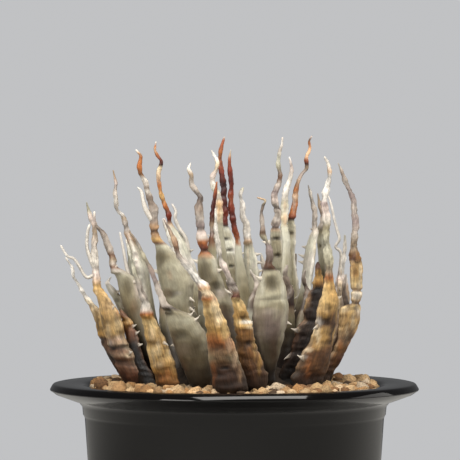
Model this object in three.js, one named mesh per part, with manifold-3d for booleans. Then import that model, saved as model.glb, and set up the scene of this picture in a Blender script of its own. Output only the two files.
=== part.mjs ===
// A small agave with long wavy spines, growing in a black round pot topped with pumice gravel.
// Millimetres, +Z up. The origin is the centre of the pot's foot, and the front faces -Y.
import * as THREE from "three";
import { mergeVertices } from "three/addons/utils/BufferGeometryUtils.js";
import Module from "manifold-3d";

const wasm = await Module();
wasm.setup();

// Pot sizes
const POT_HEIGHT = 120;
const LIP_RADIUS = 75;
const LIP_THICK = 3.8;
const COLLAR_RADIUS = 61.6;
const FOOT_RADIUS = 52;
const FOOT_RING_RADIUS = 46;
const FOOT_RING_HEIGHT = 4;
const MOUTH_RADIUS = 59.6;
const WALL = 2.8;
const FLOOR_THICK = 4;
const DRAIN_RADIUS = 11;
const POT_SIDES = 48;

// Filling: the soil mix below and the loose gravel on top, all clear of each other by GAP
const GAP = 0.35;
const SOIL_TOP_BELOW_RIM = 11;
const GRAVEL_TOP_BELOW_RIM = 2.2;
const GRANULES = 70;
const GRANULE_RADIUS = 3.5;
const GRANULE_SEED = 7;
const GRANULE_CORNERS = 1.15;

// Short thick stem that every leaf clasps
const STEM_RADIUS = 32;
const STEM_NECK = 14;
const STEM_BOTTOM = -36;
const STEM_TOP = 12;
const STEM_SIDES = 20;
const ROOT_UP = -7;
const ROOT_RADIUS = 27;
const ROOT_NARROWING = 0.7;

// The leaves below are written as they line up on the pot's axis plane for an eye level with
// EYE_UP above the rim and EYE_DISTANCE in front of the axis. depth moves a point along that line.
const EYE_X = -1.8;
const EYE_UP = 62.2;
const EYE_DISTANCE = 1000;

const COLOURS = {
  green: 0xa8aa92,
  pale: 0xc3c6b4,
  straw: 0xbd9a5e,
  brown: 0x5d3f30,
  young: 0x9aa284,
};
const PLUMPNESS = { green: 0.5, pale: 0.42, straw: 0.42, brown: 0.4, young: 0.55 };
const SPINE_ROUNDNESS = 0.85;
const THREAD_SIDES = 4;
const THORN_RADIUS = 0.8;
const THORN_SINK = 0.9;
const THINNEST = 0.62;

// blade: rows of [left edge, right edge, height above the rim], from the foot to the collar.
// spine: rows of [centre, height above the rim, width], from the collar to the tip.
// depth: towards the front at the foot, the collar and the tip. face: the way the outer side
// looks, in degrees from the front, positive to the right.
// thorns: rows of [side, height, length, rise]. threads: rows like the spine's, root first.
const LEAVES = [
  {
    name: "straw_leaf_front_left_centre", kind: "straw", face: -10, depth: [41, 50, 52],
    blade: [[-8.7, 5.5, -3.4], [-9.7, 3.5, 4.7], [-10.4, 0.8, 11.2], [-11.2, -1.2, 17.8],
      [-12, -3.8, 25.5], [-12.8, -6.7, 32]],
    spine: [[-11.2, 36.1, 4.2], [-12.2, 38.6, 3.5], [-14.7, 41.2, 3.3], [-16.9, 44.3, 3],
      [-19.9, 48.3, 2.6], [-22.6, 51.6, 2.3], [-24.6, 58.1, 2], [-28.7, 66.7, 1]],
    thorns: [],
  },
  {
    name: "straw_leaf_front_centre", kind: "straw", face: 8, depth: [36, 45, 48],
    blade: [[3.5, 12.2, -3], [2.7, 13.9, 1.9], [1.1, 11, 9.2], [0.8, 9, 14.9], [0.4, 7.4, 22.3],
      [-0.4, 5.9, 27.6], [-0.6, 3.9, 32.4]],
    spine: [[0.5, 34.7, 3.6], [0.8, 36.7, 2.9], [-1, 39.8, 2.7], [-2.2, 43, 2.5], [-4, 46.9, 2.3],
      [-5.5, 50, 2.1], [-6.3, 54.9, 1.8], [-7.5, 62.2, 1.5], [-7.7, 70.8, 0.9]],
    thorns: [],
  },
  {
    name: "green_leaf_front_left", kind: "green", face: -22, depth: [31, 39, 41],
    blade: [[-18.1, -9.8, -1], [-21.4, -9.6, 6.4], [-25, -10.4, 15.3], [-26.3, -12, 19.4],
      [-27.5, -14.4, 23.5], [-28.3, -18.1, 27.6]],
    spine: [[-28.4, 31.2, 2.8], [-29.5, 34.1, 2.4], [-31.4, 38.6, 2.2], [-33.2, 43.9, 1.8],
      [-34.8, 47.5, 1.6], [-37.3, 52, 1.4], [-39.7, 57.3, 1.2], [-42.8, 61.4, 0.8]],
    thorns: [[1, 26.5, 3, 1.2], [1, 22, 2.4, 1.4], [-1, 17, 2, -1], [1, 29, 3, 1.5]],
  },
  {
    name: "green_leaf_front_right_centre", kind: "green", face: 15, depth: [33, 41, 41],
    blade: [[13, 16.6, -1], [12.9, 16.6, 4.7], [11.6, 17.8, 9.2], [9.6, 19.4, 14.9],
      [8.2, 21.2, 22.3], [7.8, 22.2, 28.4], [8.6, 21.8, 34.1], [10, 20.6, 39.4],
      [11.7, 18.8, 44.7]],
    spine: [[13.9, 47.6, 3.2], [14.5, 50.8, 2.6], [14.2, 54, 2.5], [13.3, 56.9, 2.2],
      [11.7, 60, 2], [11.5, 63.8, 1.8], [11.1, 68.8, 1.6], [11.7, 72.2, 1.3], [12.6, 74.2, 1.1],
      [9.4, 75.4, 0.8]],
    thorns: [[-1, 43, 2.2, 1.4], [1, 26, 1.6, -1], [-1, 57.5, 2, 0.6]],
  },
  {
    name: "straw_leaf_front_left", kind: "straw", face: -32, depth: [29, 35, 37],
    blade: [[-31.1, -22, -2.2], [-33.2, -23.4, 3.1], [-34.8, -24.8, 8.8], [-36, -27.7, 15.3],
      [-37.3, -30.3, 21.4], [-37.9, -32.4, 25.5]],
    spine: [[-36, 28.4, 4.2], [-36.4, 32.5, 3.6], [-37.9, 36.1, 3], [-39.3, 41.2, 2.3],
      [-40.5, 44.3, 1.9], [-42.2, 50.4, 1.5], [-44.2, 58.1, 0.9]],
    thorns: [[1, 18, 1.6, -1.2]],
  },
  {
    name: "straw_leaf_front_right", kind: "straw", face: 38, depth: [25, 30, 28],
    blade: [[24.5, 36, -1.5], [23.6, 37.3, 2.4], [25.5, 39, 5.9], [27.6, 40, 11.2],
      [32, 41, 19.4], [33.1, 42.2, 23.9], [34.1, 42.6, 29.2], [35.1, 43, 33.3],
      [36.9, 41, 40.2]],
    spine: [[38.6, 43.6, 3.4], [38.8, 47.7, 3.1], [38, 54, 3], [37.4, 60, 2.8], [37.7, 65, 2.9],
      [37.4, 69.1, 2.8], [36.6, 73.2, 2.6], [37.7, 79.1, 2.4], [38.9, 84.4, 1.9],
      [38.3, 89, 1.4], [36.8, 92, 0.9]],
    thorns: [[-1, 11.5, 2.4, 1.4], [-1, 24, 1.4, -1], [1, 35, 1.6, 1]],
  },
  {
    name: "straw_leaf_left", kind: "straw", face: -58, depth: [8, 15, 15],
    blade: [[-44.2, -35.2, -1.6], [-47.4, -34.8, 1.9], [-49.9, -38.9, 7.2], [-52.3, -41.3, 12.5],
      [-53.2, -44.2, 17.4], [-55.2, -45.8, 23.5], [-56, -47.5, 29.2], [-56.6, -50.7, 33.7]],
    spine: [[-56, 38.8, 3.7], [-56.4, 43.4, 3.3], [-56.9, 49, 2.9], [-57.2, 55.3, 2.4],
      [-56.9, 60.4, 2], [-57.3, 64.6, 1.7], [-57.1, 69.6, 1]],
    thorns: [[1, 31, 1.8, 1.4], [1, 13, 1.8, 0.6]],
    threads: [
      [[-56.8, 44, 1.9], [-60.2, 42.9, 1.3], [-63.5, 47.8, 1.3], [-65.6, 50.6, 1.2],
        [-68, 51.5, 1.1], [-70.9, 56.1, 0.9]],
      [[-57, 46.7, 2], [-58.5, 50, 1.8], [-60.1, 55.3, 1.4], [-59.8, 61.6, 1.3],
        [-58.8, 64.8, 1]],
    ],
  },
  {
    name: "brown_leaf_right", kind: "brown", face: 38, depth: [20, 17, 16],
    blade: [[18.2, 25, -1], [18.4, 25.6, 2.6], [20.4, 27.6, 8], [23.6, 29.6, 13.8],
      [24.7, 33, 20.4], [27.5, 34.5, 25.5], [29, 35.4, 32.4], [31.2, 36.8, 38.2],
      [32.4, 36.2, 43.2]],
    spine: [[34.1, 46.2, 2.6], [34, 49, 1]],
    thorns: [[-1, 22, 3, 1], [-1, 12, 2.6, -1.4], [1, 37, 1.6, 1]],
  },
  {
    name: "straw_leaf_right", kind: "straw", face: 62, depth: [7, 9, 7],
    blade: [[31.4, 38, -1], [33, 39.8, 2.7], [37, 43, 7.2], [40.8, 46.6, 14.5],
      [42.3, 48.6, 18.2], [43, 51.6, 24.7], [43.6, 52.2, 30.6], [47, 51.9, 32.4],
      [47.8, 52.4, 36.8], [47.4, 52.7, 43], [47.3, 52.3, 48.4]],
    spine: [[49.1, 50.8, 4.2], [48.7, 56.1, 3.4], [49.1, 60.6, 2.9], [49.6, 64.4, 2.7],
      [48.9, 69.5, 2.5], [48.5, 74.4, 2.3], [46.7, 78.9, 2], [45, 82.6, 1.8], [43.6, 86.5, 1.3],
      [42.3, 89.4, 0.8]],
    thorns: [[1, 61.6, 1.6, 0.4]],
  },
  {
    name: "brown_leaf_left", kind: "brown", face: -42, depth: [17, 13, 12],
    blade: [[-38.6, -31, -2], [-40.4, -33.2, 2.7], [-42.6, -36.6, 9.2], [-44, -38.6, 15.3],
      [-45.4, -40.1, 21.4], [-46.2, -42.2, 25.5]],
    spine: [[-45.6, 27.4, 2.4], [-46.6, 30, 1]],
    thorns: [[1, 20.5, 1.8, 1.3], [1, 16, 2, 0.6], [1, 23.4, 1.6, 1]],
  },
  {
    name: "green_leaf_left_centre", kind: "green", face: -33, depth: [20, 26, 26],
    blade: [[-19, -11, -1], [-21.6, -12.6, 8], [-26, -16, 20], [-28.4, -17.7, 31.6],
      [-30.2, -17.3, 37.7], [-31.5, -17.7, 42.6], [-32.3, -22.2, 50], [-32.4, -27.1, 55.7]],
    spine: [[-32.2, 58.7, 3.7], [-32.8, 63.8, 3.2], [-33, 70.8, 3.1], [-34.4, 74.4, 2.8],
      [-35.6, 78.1, 2.5], [-36.4, 81.8, 2.3], [-38.2, 84.9, 1.9], [-38.8, 88.4, 1.7],
      [-38.2, 92.2, 1.4], [-40.1, 94.8, 0.8]],
    thorns: [[-1, 45.5, 2.6, 1], [-1, 41.5, 2, -1], [1, 35, 1.8, -1.2], [1, 31, 2, -1.4]],
    threads: [
      [[-33.6, 66.2, 2.2], [-36.2, 70.8, 2], [-37.3, 74.6, 1.6], [-38, 78, 1.2],
        [-39.6, 79.7, 0.9]],
    ],
  },
  {
    name: "green_leaf_centre_left", kind: "green", face: -18, depth: [26, 28, 26],
    blade: [[-5.2, 2.2, 1], [-6.8, 2, 12], [-9.6, 0.7, 23.5], [-11.6, -1.4, 34.5],
      [-13, -4.2, 39.4], [-14.2, -5.5, 43], [-15.3, -7.3, 48.3], [-15, -8.7, 51.4]],
    spine: [[-12.4, 54, 4.2], [-13.2, 58.7, 3.7], [-13.7, 62.4, 3.6], [-14.2, 66.5, 3.3],
      [-14.6, 71.8, 2.9], [-14, 75.4, 2.7], [-15.8, 78.1, 2.3], [-17.6, 81.2, 2],
      [-17.6, 84.4, 1.7], [-18.7, 87.3, 1.2], [-17.9, 89.4, 0.8]],
    thorns: [[1, 46, 2, 1], [-1, 49.5, 2, 1.2], [1, 38, 1.8, -1]],
  },
  {
    name: "green_leaf_left", kind: "green", face: -48, depth: [11, 9, 7],
    blade: [[-34, -26.6, 0], [-38.5, -30.5, 9], [-43, -35, 22], [-46.6, -38.1, 33.7],
      [-48.7, -41.3, 43]],
    spine: [[-49.2, 46.4, 3.6], [-49.7, 50, 3.2], [-50.7, 53.4, 3], [-52.3, 57.7, 2.8],
      [-53.6, 60.8, 2.3], [-56.4, 63.8, 2], [-58.5, 66.7, 2], [-59.3, 69.5, 1.6],
      [-60.3, 73.4, 0.9]],
    thorns: [[1, 45, 2.6, 1.6], [1, 41, 2, 1], [-1, 30, 1.6, 1]],
    threads: [[[-42.8, 42.4, 1.6], [-44.2, 48.4, 1.4], [-45.2, 54, 1.2], [-46.7, 61.4, 0.8]]],
  },
  {
    name: "green_leaf_left_toothed", kind: "green", face: -50, depth: [3, 2, 2],
    blade: [[-38, -31.6, 0], [-42.5, -36, 14], [-46, -41.4, 26], [-49.7, -45.4, 33.7],
      [-52.4, -49.2, 38.8]],
    spine: [[-51.8, 40.6, 1.6], [-50.4, 43, 0.8]],
    thorns: [[1, 36.6, 2.6, 1.8], [1, 31, 2.2, 1.5], [1, 26.5, 2, 1]],
  },
  {
    name: "straw_leaf_far_left", kind: "straw", face: -70, depth: [-7, -6, -4],
    blade: [[-42, -34, -1], [-47, -40, 2.4], [-51.5, -44.6, 9.2], [-54.8, -47.8, 15.3],
      [-56.4, -49.9, 19.8], [-58, -52.3, 26.3], [-59.7, -56, 31]],
    spine: [[-59.8, 33.6, 2.3], [-62.1, 37.3, 1.9], [-63.7, 40.2, 1.6], [-65.6, 43.2, 1.4],
      [-66.1, 46.7, 1.2], [-68.7, 50.8, 0.8]],
    thorns: [[-1, 16, 2, -0.6]],
  },
  {
    name: "straw_leaf_right_spiny", kind: "straw", face: 66, depth: [-5, -8, -8],
    blade: [[31, 37.6, -1], [36, 42, 8], [40.6, 46.2, 20], [42.4, 47.3, 32], [42, 46.8, 39.8]],
    spine: [[43.8, 44.6, 2.6], [44.5, 50, 2], [45, 54.9, 1.9], [45, 60, 1.5]],
    thorns: [[1, 40, 2.6, 1.2], [1, 36, 2, -0.8], [-1, 38, 1.6, 1]],
    threads: [
      [[43.4, 43.6, 1.6], [43.5, 49.2, 1.4], [43.2, 53.4, 1.3], [41.2, 55.4, 1.2],
        [42.8, 58.4, 1.2], [41.9, 62, 1.2], [40.7, 66.5, 1.1], [39.4, 72.5, 1],
        [38.2, 76.4, 0.8]],
    ],
  },
  {
    name: "pale_leaf_left", kind: "pale", face: -95, depth: [-10, -13, -13],
    blade: [[-30, -24, 0], [-34.6, -28, 12], [-38.6, -31.6, 26], [-41, -34.2, 39.8],
      [-43.2, -35.2, 47.5], [-43.6, -37.3, 52], [-44, -40.6, 58.1]],
    spine: [[-43.8, 61.6, 2.8], [-44.4, 64.8, 2.4], [-45.6, 68, 2], [-47.9, 70.6, 1.9],
      [-48.3, 74.6, 2], [-48.7, 78, 1.8], [-48.3, 81, 1.5], [-49.4, 86.4, 0.8]],
    thorns: [[1, 50, 2, 1.4], [1, 46, 1.8, 1], [1, 34, 2.2, 1]],
  },
  {
    name: "pale_leaf_back_left", kind: "pale", face: -148, depth: [-22, -31, -33],
    blade: [[-18, -8, 2], [-19, -9, 14], [-20, -10.4, 28], [-21.6, -12.6, 38],
      [-23.2, -15.7, 46.7], [-24.8, -17.3, 50.8], [-26.6, -19.2, 56.1], [-28.3, -22.4, 61]],
    spine: [[-26.5, 64.4, 2.7], [-26.9, 68.4, 2.4], [-29.3, 74.8, 2.2], [-30.6, 80, 1.9],
      [-31, 85.6, 1.8], [-29.8, 90, 1.6], [-31.4, 92.4, 1.3], [-32.4, 95, 1.2],
      [-32, 98, 0.8]],
    thorns: [[1, 53, 2.2, 1], [-1, 44, 2, 1], [1, 42, 2, 1]],
    threads: [
      [[-18.6, 53.4, 1.9], [-20, 59.1, 1.7], [-22.4, 62.8, 1.6], [-24.2, 67, 1.5],
        [-23.9, 69.8, 1.3], [-25.5, 73, 0.8]],
      [[-26.6, 60.2, 1.6], [-28.2, 63.6, 1.3], [-29.2, 66.9, 0.9]],
    ],
  },
  {
    name: "pale_leaf_back_centre", kind: "pale", face: 175, depth: [-19, -28, -30],
    blade: [[-4, 5, 4], [-4, 6.4, 18], [-3.4, 7.6, 30], [-2.8, 7, 38], [-2.6, 6, 44.3],
      [-5.1, 3.7, 50], [-5.9, 1.7, 55.7], [-6.3, -1.6, 62]],
    spine: [[-4.3, 65, 3.9], [-4.3, 69.4, 3.6], [-4.6, 74.4, 3.3], [-4.3, 78.6, 3],
      [-4.8, 83, 2.5], [-5.6, 88.2, 2.1], [-5.8, 92.6, 1.7], [-5.2, 96.2, 1.3],
      [-4.1, 100, 0.8]],
    thorns: [[1, 52, 1.8, 1], [-1, 47, 1.8, 1], [1, 41, 2, 1.2]],
  },
  {
    name: "pale_leaf_back_right_centre", kind: "pale", face: 160, depth: [-20, -30, -31],
    blade: [[11, 19.4, 4], [12, 21, 18], [13.6, 22.4, 32], [15.4, 22, 41.8],
      [15.2, 20.6, 50], [14.8, 19.8, 56], [14.6, 19.2, 62]],
    spine: [[16.9, 64.6, 3.6], [18, 68.6, 3.2], [16.7, 72.8, 3], [16.4, 76.6, 2.8],
      [18.2, 81.4, 2.2], [18.7, 85, 1.9], [18, 89, 1.8], [18.3, 93.4, 1.5], [19.4, 97, 1.2],
      [19.6, 99.8, 0.8]],
    thorns: [[-1, 44, 2, 1], [1, 38, 2, 1.2]],
  },
  {
    name: "pale_leaf_back_right", kind: "pale", face: 146, depth: [-27, -36, -38],
    blade: [[20, 27, 2], [20.4, 28, 16], [21, 27, 30], [21.2, 26.4, 40], [21, 25, 49.6],
      [20.6, 25.2, 58.5], [21.4, 25.4, 63]],
    spine: [[23.2, 66, 3.2], [23.9, 69, 3], [24.8, 73, 2.6], [25, 77, 2.3], [25.6, 80.4, 2],
      [27.2, 84.6, 1.8], [29.4, 87.2, 1.7], [29.4, 91.6, 1.6], [30.8, 95.4, 1.4],
      [30.5, 98.4, 1.1], [31.5, 100.4, 0.8]],
    thorns: [[1, 36, 2, 1], [-1, 30, 2, 1]],
  },
  {
    name: "pale_leaf_right_toothed", kind: "pale", face: 128, depth: [-6, -10, -11],
    blade: [[18.6, 24.6, 2], [21, 26.6, 12], [22.8, 28, 22], [24.6, 29.4, 30],
      [26.7, 31.2, 36.5], [27.7, 32, 42.6], [28.4, 33, 49.6], [29.8, 33.8, 57]],
    spine: [[33, 61.6, 2.7], [32.7, 65.2, 2.4], [32.9, 69.4, 2.2], [31.8, 73.6, 2],
      [31, 77.4, 1.5], [30.1, 80.4, 0.8]],
    thorns: [[-1, 58, 3.6, 1.4], [-1, 55, 3.6, 0.4], [-1, 51, 4.6, 1.2], [-1, 48.6, 4.2, 0.8],
      [-1, 35, 3.4, -1.2]],
  },
  {
    name: "pale_leaf_right", kind: "pale", face: 118, depth: [-16, -24, -25],
    blade: [[26.4, 32.4, 1], [29.4, 35.4, 14], [31.8, 37.8, 28], [33.4, 39.2, 40],
      [34.6, 39.2, 48], [34.1, 38.4, 56], [33.7, 38.1, 62]],
    spine: [[36.1, 65, 2.8], [36, 68.4, 2.2], [34.9, 72.4, 1.7], [34, 76.9, 0.9]],
    thorns: [[1, 46, 2, 1], [-1, 43, 1.8, 1]],
  },
  {
    name: "pale_leaf_centre_right", kind: "pale", face: 168, depth: [-6, -10, -11],
    blade: [[5.6, 12.6, 6], [5.4, 13, 18], [5, 12.4, 30], [4.4, 10.6, 40], [3.5, 9.6, 47.9],
      [3.5, 8.4, 54]],
    spine: [[5.5, 57.4, 3.4], [5.1, 61.4, 3], [4.7, 65.2, 2.5], [3.3, 68, 2.3], [3.4, 72, 2.1],
      [2.5, 76.6, 1.6], [3.5, 79.4, 0.9]],
    thorns: [[1, 52, 2.4, 0.6], [1, 49, 2.2, -0.4], [1, 45, 2, 1], [-1, 44, 1.8, 1]],
  },
  {
    name: "young_leaf_right_centre", kind: "young", face: 70, depth: [4, 0, 0],
    blade: [[13.6, 19, 8], [15, 20.6, 20], [17.6, 22.4, 32], [19, 23.4, 44], [19.6, 23, 54],
      [19.4, 22.6, 60]],
    spine: [[20.4, 64, 3.2], [20.6, 69, 3.1], [20.6, 73.6, 3.1], [21, 78, 2.9],
      [22.6, 82.6, 2.1], [23.4, 87.4, 1.7], [22.4, 91.8, 1]],
    thorns: [[-1, 73.4, 2, 1.2]],
  },
  {
    name: "young_leaf_centre_left", kind: "young", face: -30, depth: [9, 9, 9],
    blade: [[-9.4, -3.4, 10], [-10.4, -4.4, 24], [-11.6, -6.6, 38], [-11.6, -7, 48],
      [-11, -7.4, 55]],
    spine: [[-9.2, 59, 2.6], [-8.8, 64, 2.5], [-8.8, 71, 2.1], [-8, 76, 1.6], [-7.2, 81.7, 0.9]],
    thorns: [[-1, 58, 2, 1.4]],
  },
  {
    name: "young_leaf_centre", kind: "young", face: 10, depth: [2, 0, 0],
    blade: [[-9, -0.6, 10], [-8.8, -0.4, 26], [-8, -1, 40], [-6.8, -3, 52],
      [-7, -4.2, 60]],
    spine: [[-6.2, 66, 3], [-6.2, 71, 2.9], [-6.5, 75.4, 2.6], [-8.2, 79.6, 2.4],
      [-8.9, 83.4, 2.2], [-7.3, 87.3, 1.8], [-7, 90, 1.4], [-9.3, 94.6, 1]],
    thorns: [[-1, 60, 1.8, 1.2]],
  },
  {
    name: "young_leaf_centre_right", kind: "young", face: 30, depth: [0, -4, -4],
    blade: [[0.4, 8, 10], [0.6, 8, 26], [0.6, 6, 40], [0.2, 3.8, 50], [0.4, 2.8, 56]],
    spine: [[1.1, 59.8, 2.3], [0.1, 63, 2.4], [-0.9, 69.1, 2.4], [-1.4, 75.4, 2.2],
      [-1.2, 81, 2], [-1.7, 85.8, 1.8], [-2, 90, 1.4], [-1.5, 94.8, 0.8]],
    thorns: [],
  },
];

// Leaves round the back and inside the rosette: the way they face, the foot's and collar's
// distance from the axis, the collar's and the tip's height above the rim, the width, the kind.
const INNER_LEAVES = [
  [30, 22, 27, 36, 52, 14, "green"],
  [58, 21, 26, 34, 48, 13, "green"],
  [-8, 16, 19, 30, 42, 13, "green"],
  [-52, 21, 26, 36, 50, 14, "green"],
  [-82, 23, 29, 34, 48, 14, "green"],
  [-116, 21, 27, 36, 50, 14, "pale"],
  [-95, 9, 13, 40, 52, 12, "young"],
  [130, 11, 15, 38, 52, 12, "young"],
  [-160, 9, 12, 30, 42, 12, "young"],
  [78, 24, 30, 34, 46, 12, "green"],
  [60, 7, 9, 34, 46, 10, "young"],
];
const BACK_LEAVES = [
  [-112, 38, 47, 30, 50, 13, "straw"],
  [-128, 39, 50, 24, 42, 12, "brown"],
  [-144, 38, 48, 31, 52, 14.5, "green"],
  [-161, 39, 51, 26, 46, 13, "straw"],
  [-178, 38, 49, 32, 54, 14.5, "green"],
  [164, 39, 51, 27, 47, 12.5, "straw"],
  [147, 38, 48, 31, 52, 14, "green"],
  [130, 39, 50, 25, 43, 12, "brown"],
  [112, 38, 47, 30, 52, 13.5, "straw"],
  [92, 37, 46, 26, 44, 11, "brown"],
];
const WAVE_SEED = 21;
const RULE_WIDTHS = [0.72, 0.9, 1, 0.86, 0.52];
const RULE_SPINE_WIDTHS = [0.3, 0.22, 0.19, 0.15, 0.09];
const WAVE_SWAY = 1.3;

// A ring of the section: across the leaf, and towards its outer side, as shares of its size
const SECTION = [[-1, -0.12], [-0.5, 0.45], [0.5, 0.45], [1, -0.12], [0.45, -0.5], [-0.45, -0.5]];

function seededRandom(seed) {
  let state = seed;
  return () => {
    state = (state * 1664525 + 1013904223) % 4294967296;
    return state / 4294967296;
  };
}

function seenPoint(across, up, depth) {
  const nearness = 1 - depth / EYE_DISTANCE;
  const x = EYE_X + (across - EYE_X) * nearness;
  const z = POT_HEIGHT + EYE_UP + (up - EYE_UP) * nearness;
  return new THREE.Vector3(x, -depth, z);
}

function facing(degrees) {
  const angle = THREE.MathUtils.degToRad(degrees);
  return new THREE.Vector3(Math.sin(angle), -Math.cos(angle), 0);
}

function makeGeometry(rings) {
  const sides = rings[0].length;
  const positions = rings.flat().flatMap((point) => point.toArray());
  const triangles = [];
  for (let ring = 0; ring < rings.length - 1; ring += 1) {
    for (let side = 0; side < sides; side += 1) {
      const next = (side + 1) % sides;
      const low = ring * sides;
      const high = low + sides;
      triangles.push(low + side, low + next, high + next);
      triangles.push(low + side, high + next, high + side);
    }
  }
  const top = (rings.length - 1) * sides;
  for (let side = 1; side < sides - 1; side += 1) {
    triangles.push(0, side + 1, side);
    triangles.push(top, top + side, top + side + 1);
  }
  const geometry = new THREE.BufferGeometry();
  geometry.setAttribute("position", new THREE.Float32BufferAttribute(positions, 3));
  geometry.setIndex(triangles);
  return geometry;
}

function toSolid(geometry) {
  const bare = geometry.clone();
  bare.deleteAttribute("normal");
  bare.deleteAttribute("uv");
  const merged = mergeVertices(bare, 1e-4);
  const vertProperties = new Float32Array(merged.attributes.position.array);
  const triVerts = new Uint32Array(merged.index.array);
  return new wasm.Manifold(new wasm.Mesh({ numProp: 3, vertProperties, triVerts }));
}

function toGeometry(solid) {
  const mesh = solid.getMesh();
  const geometry = new THREE.BufferGeometry();
  geometry.setAttribute("position", new THREE.Float32BufferAttribute(mesh.vertProperties, 3));
  geometry.setIndex(Array.from(mesh.triVerts));
  return geometry;
}

function joinAll(solids) {
  return solids.reduce((whole, solid) => whole.add(solid));
}

function largestBody(solid) {
  const bodies = solid.decompose();
  return bodies.reduce((best, body) => (body.volume() > best.volume() ? body : best));
}

// One level ring of a blade
function bladeRing(centre, outward, halfWidth, thickness) {
  const across = new THREE.Vector3(-outward.y, outward.x, 0);
  return SECTION.map(([side, out]) => centre.clone()
    .addScaledVector(across, side * halfWidth)
    .addScaledVector(outward, out * thickness));
}

// A ring square to the way the spine runs
function spineRing(centre, along, outward, width, grow) {
  const across = new THREE.Vector3().crossVectors(along, outward).normalize();
  const out = new THREE.Vector3().crossVectors(across, along).normalize();
  const halfWidth = Math.max(width, THINNEST) / 2 + grow;
  const thickness = Math.max(width * SPINE_ROUNDNESS, THINNEST) + 2 * grow;
  return SECTION.map(([side, part]) => centre.clone()
    .addScaledVector(across, side * halfWidth)
    .addScaledVector(out, part * thickness));
}

function threadSolid(points, widths, grow) {
  const rings = points.map((point, index) => {
    const before = points[Math.max(index - 1, 0)];
    const after = points[Math.min(index + 1, points.length - 1)];
    const along = new THREE.Vector3().subVectors(after, before).normalize();
    const across = new THREE.Vector3().crossVectors(along, new THREE.Vector3(0, -1, 0)).normalize();
    const out = new THREE.Vector3().crossVectors(across, along);
    const radius = Math.max(widths[index], THINNEST) / 2 + grow;
    return Array.from({ length: THREAD_SIDES }, (unused, side) => {
      const angle = (side / THREAD_SIDES) * 2 * Math.PI;
      return point.clone()
        .addScaledVector(across, -radius * Math.cos(angle))
        .addScaledVector(out, radius * Math.sin(angle));
    });
  });
  return toSolid(makeGeometry(rings));
}

// A three-sided thorn with its root sunk into the margin
function thornSolid(root, direction, length, grow) {
  const across = new THREE.Vector3().crossVectors(direction, new THREE.Vector3(0, 0, 1)).normalize();
  const other = new THREE.Vector3().crossVectors(across, direction).normalize();
  const base = root.clone().addScaledVector(direction, -THORN_SINK);
  const tip = root.clone().addScaledVector(direction, length + grow);
  const corners = [90, 210, 330].map((degrees) => {
    const angle = THREE.MathUtils.degToRad(degrees);
    return base.clone()
      .addScaledVector(across, (THORN_RADIUS + grow) * Math.cos(angle))
      .addScaledVector(other, (THORN_RADIUS + grow) * Math.sin(angle));
  });
  const positions = [...corners, tip].flatMap((point) => point.toArray());
  const geometry = new THREE.BufferGeometry();
  geometry.setAttribute("position", new THREE.Float32BufferAttribute(positions, 3));
  geometry.setIndex([0, 1, 3, 1, 2, 3, 2, 0, 3, 0, 2, 1]);
  const solid = toSolid(geometry);
  if (solid.volume() > 0) return solid;
  geometry.setIndex([1, 0, 3, 2, 1, 3, 0, 2, 3, 2, 0, 1]);
  return toSolid(geometry);
}

// The foot is tucked in towards the stem below the lowest row
function rootRow(row) {
  const [centre, halfWidth] = [row.centre, row.halfWidth];
  const distance = Math.hypot(centre.x, centre.y);
  const radius = Math.min(distance, ROOT_RADIUS);
  const point = new THREE.Vector3(centre.x, centre.y, 0).multiplyScalar(radius / distance);
  point.z = POT_HEIGHT + ROOT_UP;
  return { centre: point, halfWidth: halfWidth * ROOT_NARROWING };
}

function bladeRows(leaf) {
  const plump = PLUMPNESS[leaf.kind];
  const angle = THREE.MathUtils.degToRad(leaf.face);
  const shown = Math.hypot(Math.cos(angle), plump * Math.sin(angle));
  const lowest = leaf.blade[0][2];
  const highest = leaf.spine[0][1];
  return leaf.blade.map(([left, right, up]) => {
    const share = (up - lowest) / (highest - lowest);
    const depth = THREE.MathUtils.lerp(leaf.depth[0], leaf.depth[1], share);
    const centre = seenPoint((left + right) / 2, up, depth);
    return { centre, halfWidth: (right - left) / 2 / shown };
  });
}

function spineRows(leaf) {
  const lowest = leaf.spine[0][1];
  const highest = leaf.spine[leaf.spine.length - 1][1];
  return leaf.spine.map(([across, up, width]) => {
    const share = (up - lowest) / (highest - lowest);
    const depth = THREE.MathUtils.lerp(leaf.depth[1], leaf.depth[2], share);
    return { centre: seenPoint(across, up, depth), width };
  });
}

function leafRings(leaf, rows, spine, grow) {
  const outward = facing(leaf.face);
  const plump = PLUMPNESS[leaf.kind];
  const whole = [rootRow(rows[0]), ...rows];
  const rings = whole.map((row) => {
    const thickness = 2 * row.halfWidth * plump + 2 * grow;
    return bladeRing(row.centre, outward, row.halfWidth + grow, thickness);
  });
  spine.forEach((row, index) => {
    const before = index > 0 ? spine[index - 1].centre : rows[rows.length - 1].centre;
    const after = index < spine.length - 1 ? spine[index + 1].centre : row.centre;
    const along = new THREE.Vector3().subVectors(after, before).normalize();
    rings.push(spineRing(row.centre, along, outward, row.width, grow));
  });
  return rings;
}

function sideways(leaf, side) {
  const across = facing(leaf.face + 90);
  const turned = Math.cos(THREE.MathUtils.degToRad(leaf.face)) < 0 ? -side : side;
  return across.multiplyScalar(turned);
}

function leafThorns(leaf, rows, grow) {
  return leaf.thorns.map(([side, up, length, rise]) => {
    const heights = rows.map((row) => row.centre.z - POT_HEIGHT);
    const above = heights.findIndex((height) => height > up);
    const outward = sideways(leaf, side);
    let root;
    if (above > 0) {
      const share = (up - heights[above - 1]) / (heights[above] - heights[above - 1]);
      root = rows[above - 1].centre.clone().lerp(rows[above].centre, share);
      const half = THREE.MathUtils.lerp(rows[above - 1].halfWidth, rows[above].halfWidth, share);
      root.addScaledVector(outward, half);
    } else {
      root = spineRoot(leaf, up);
    }
    const direction = outward.clone().setZ(rise / length).normalize();
    return thornSolid(root, direction, length, grow);
  });
}

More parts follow.
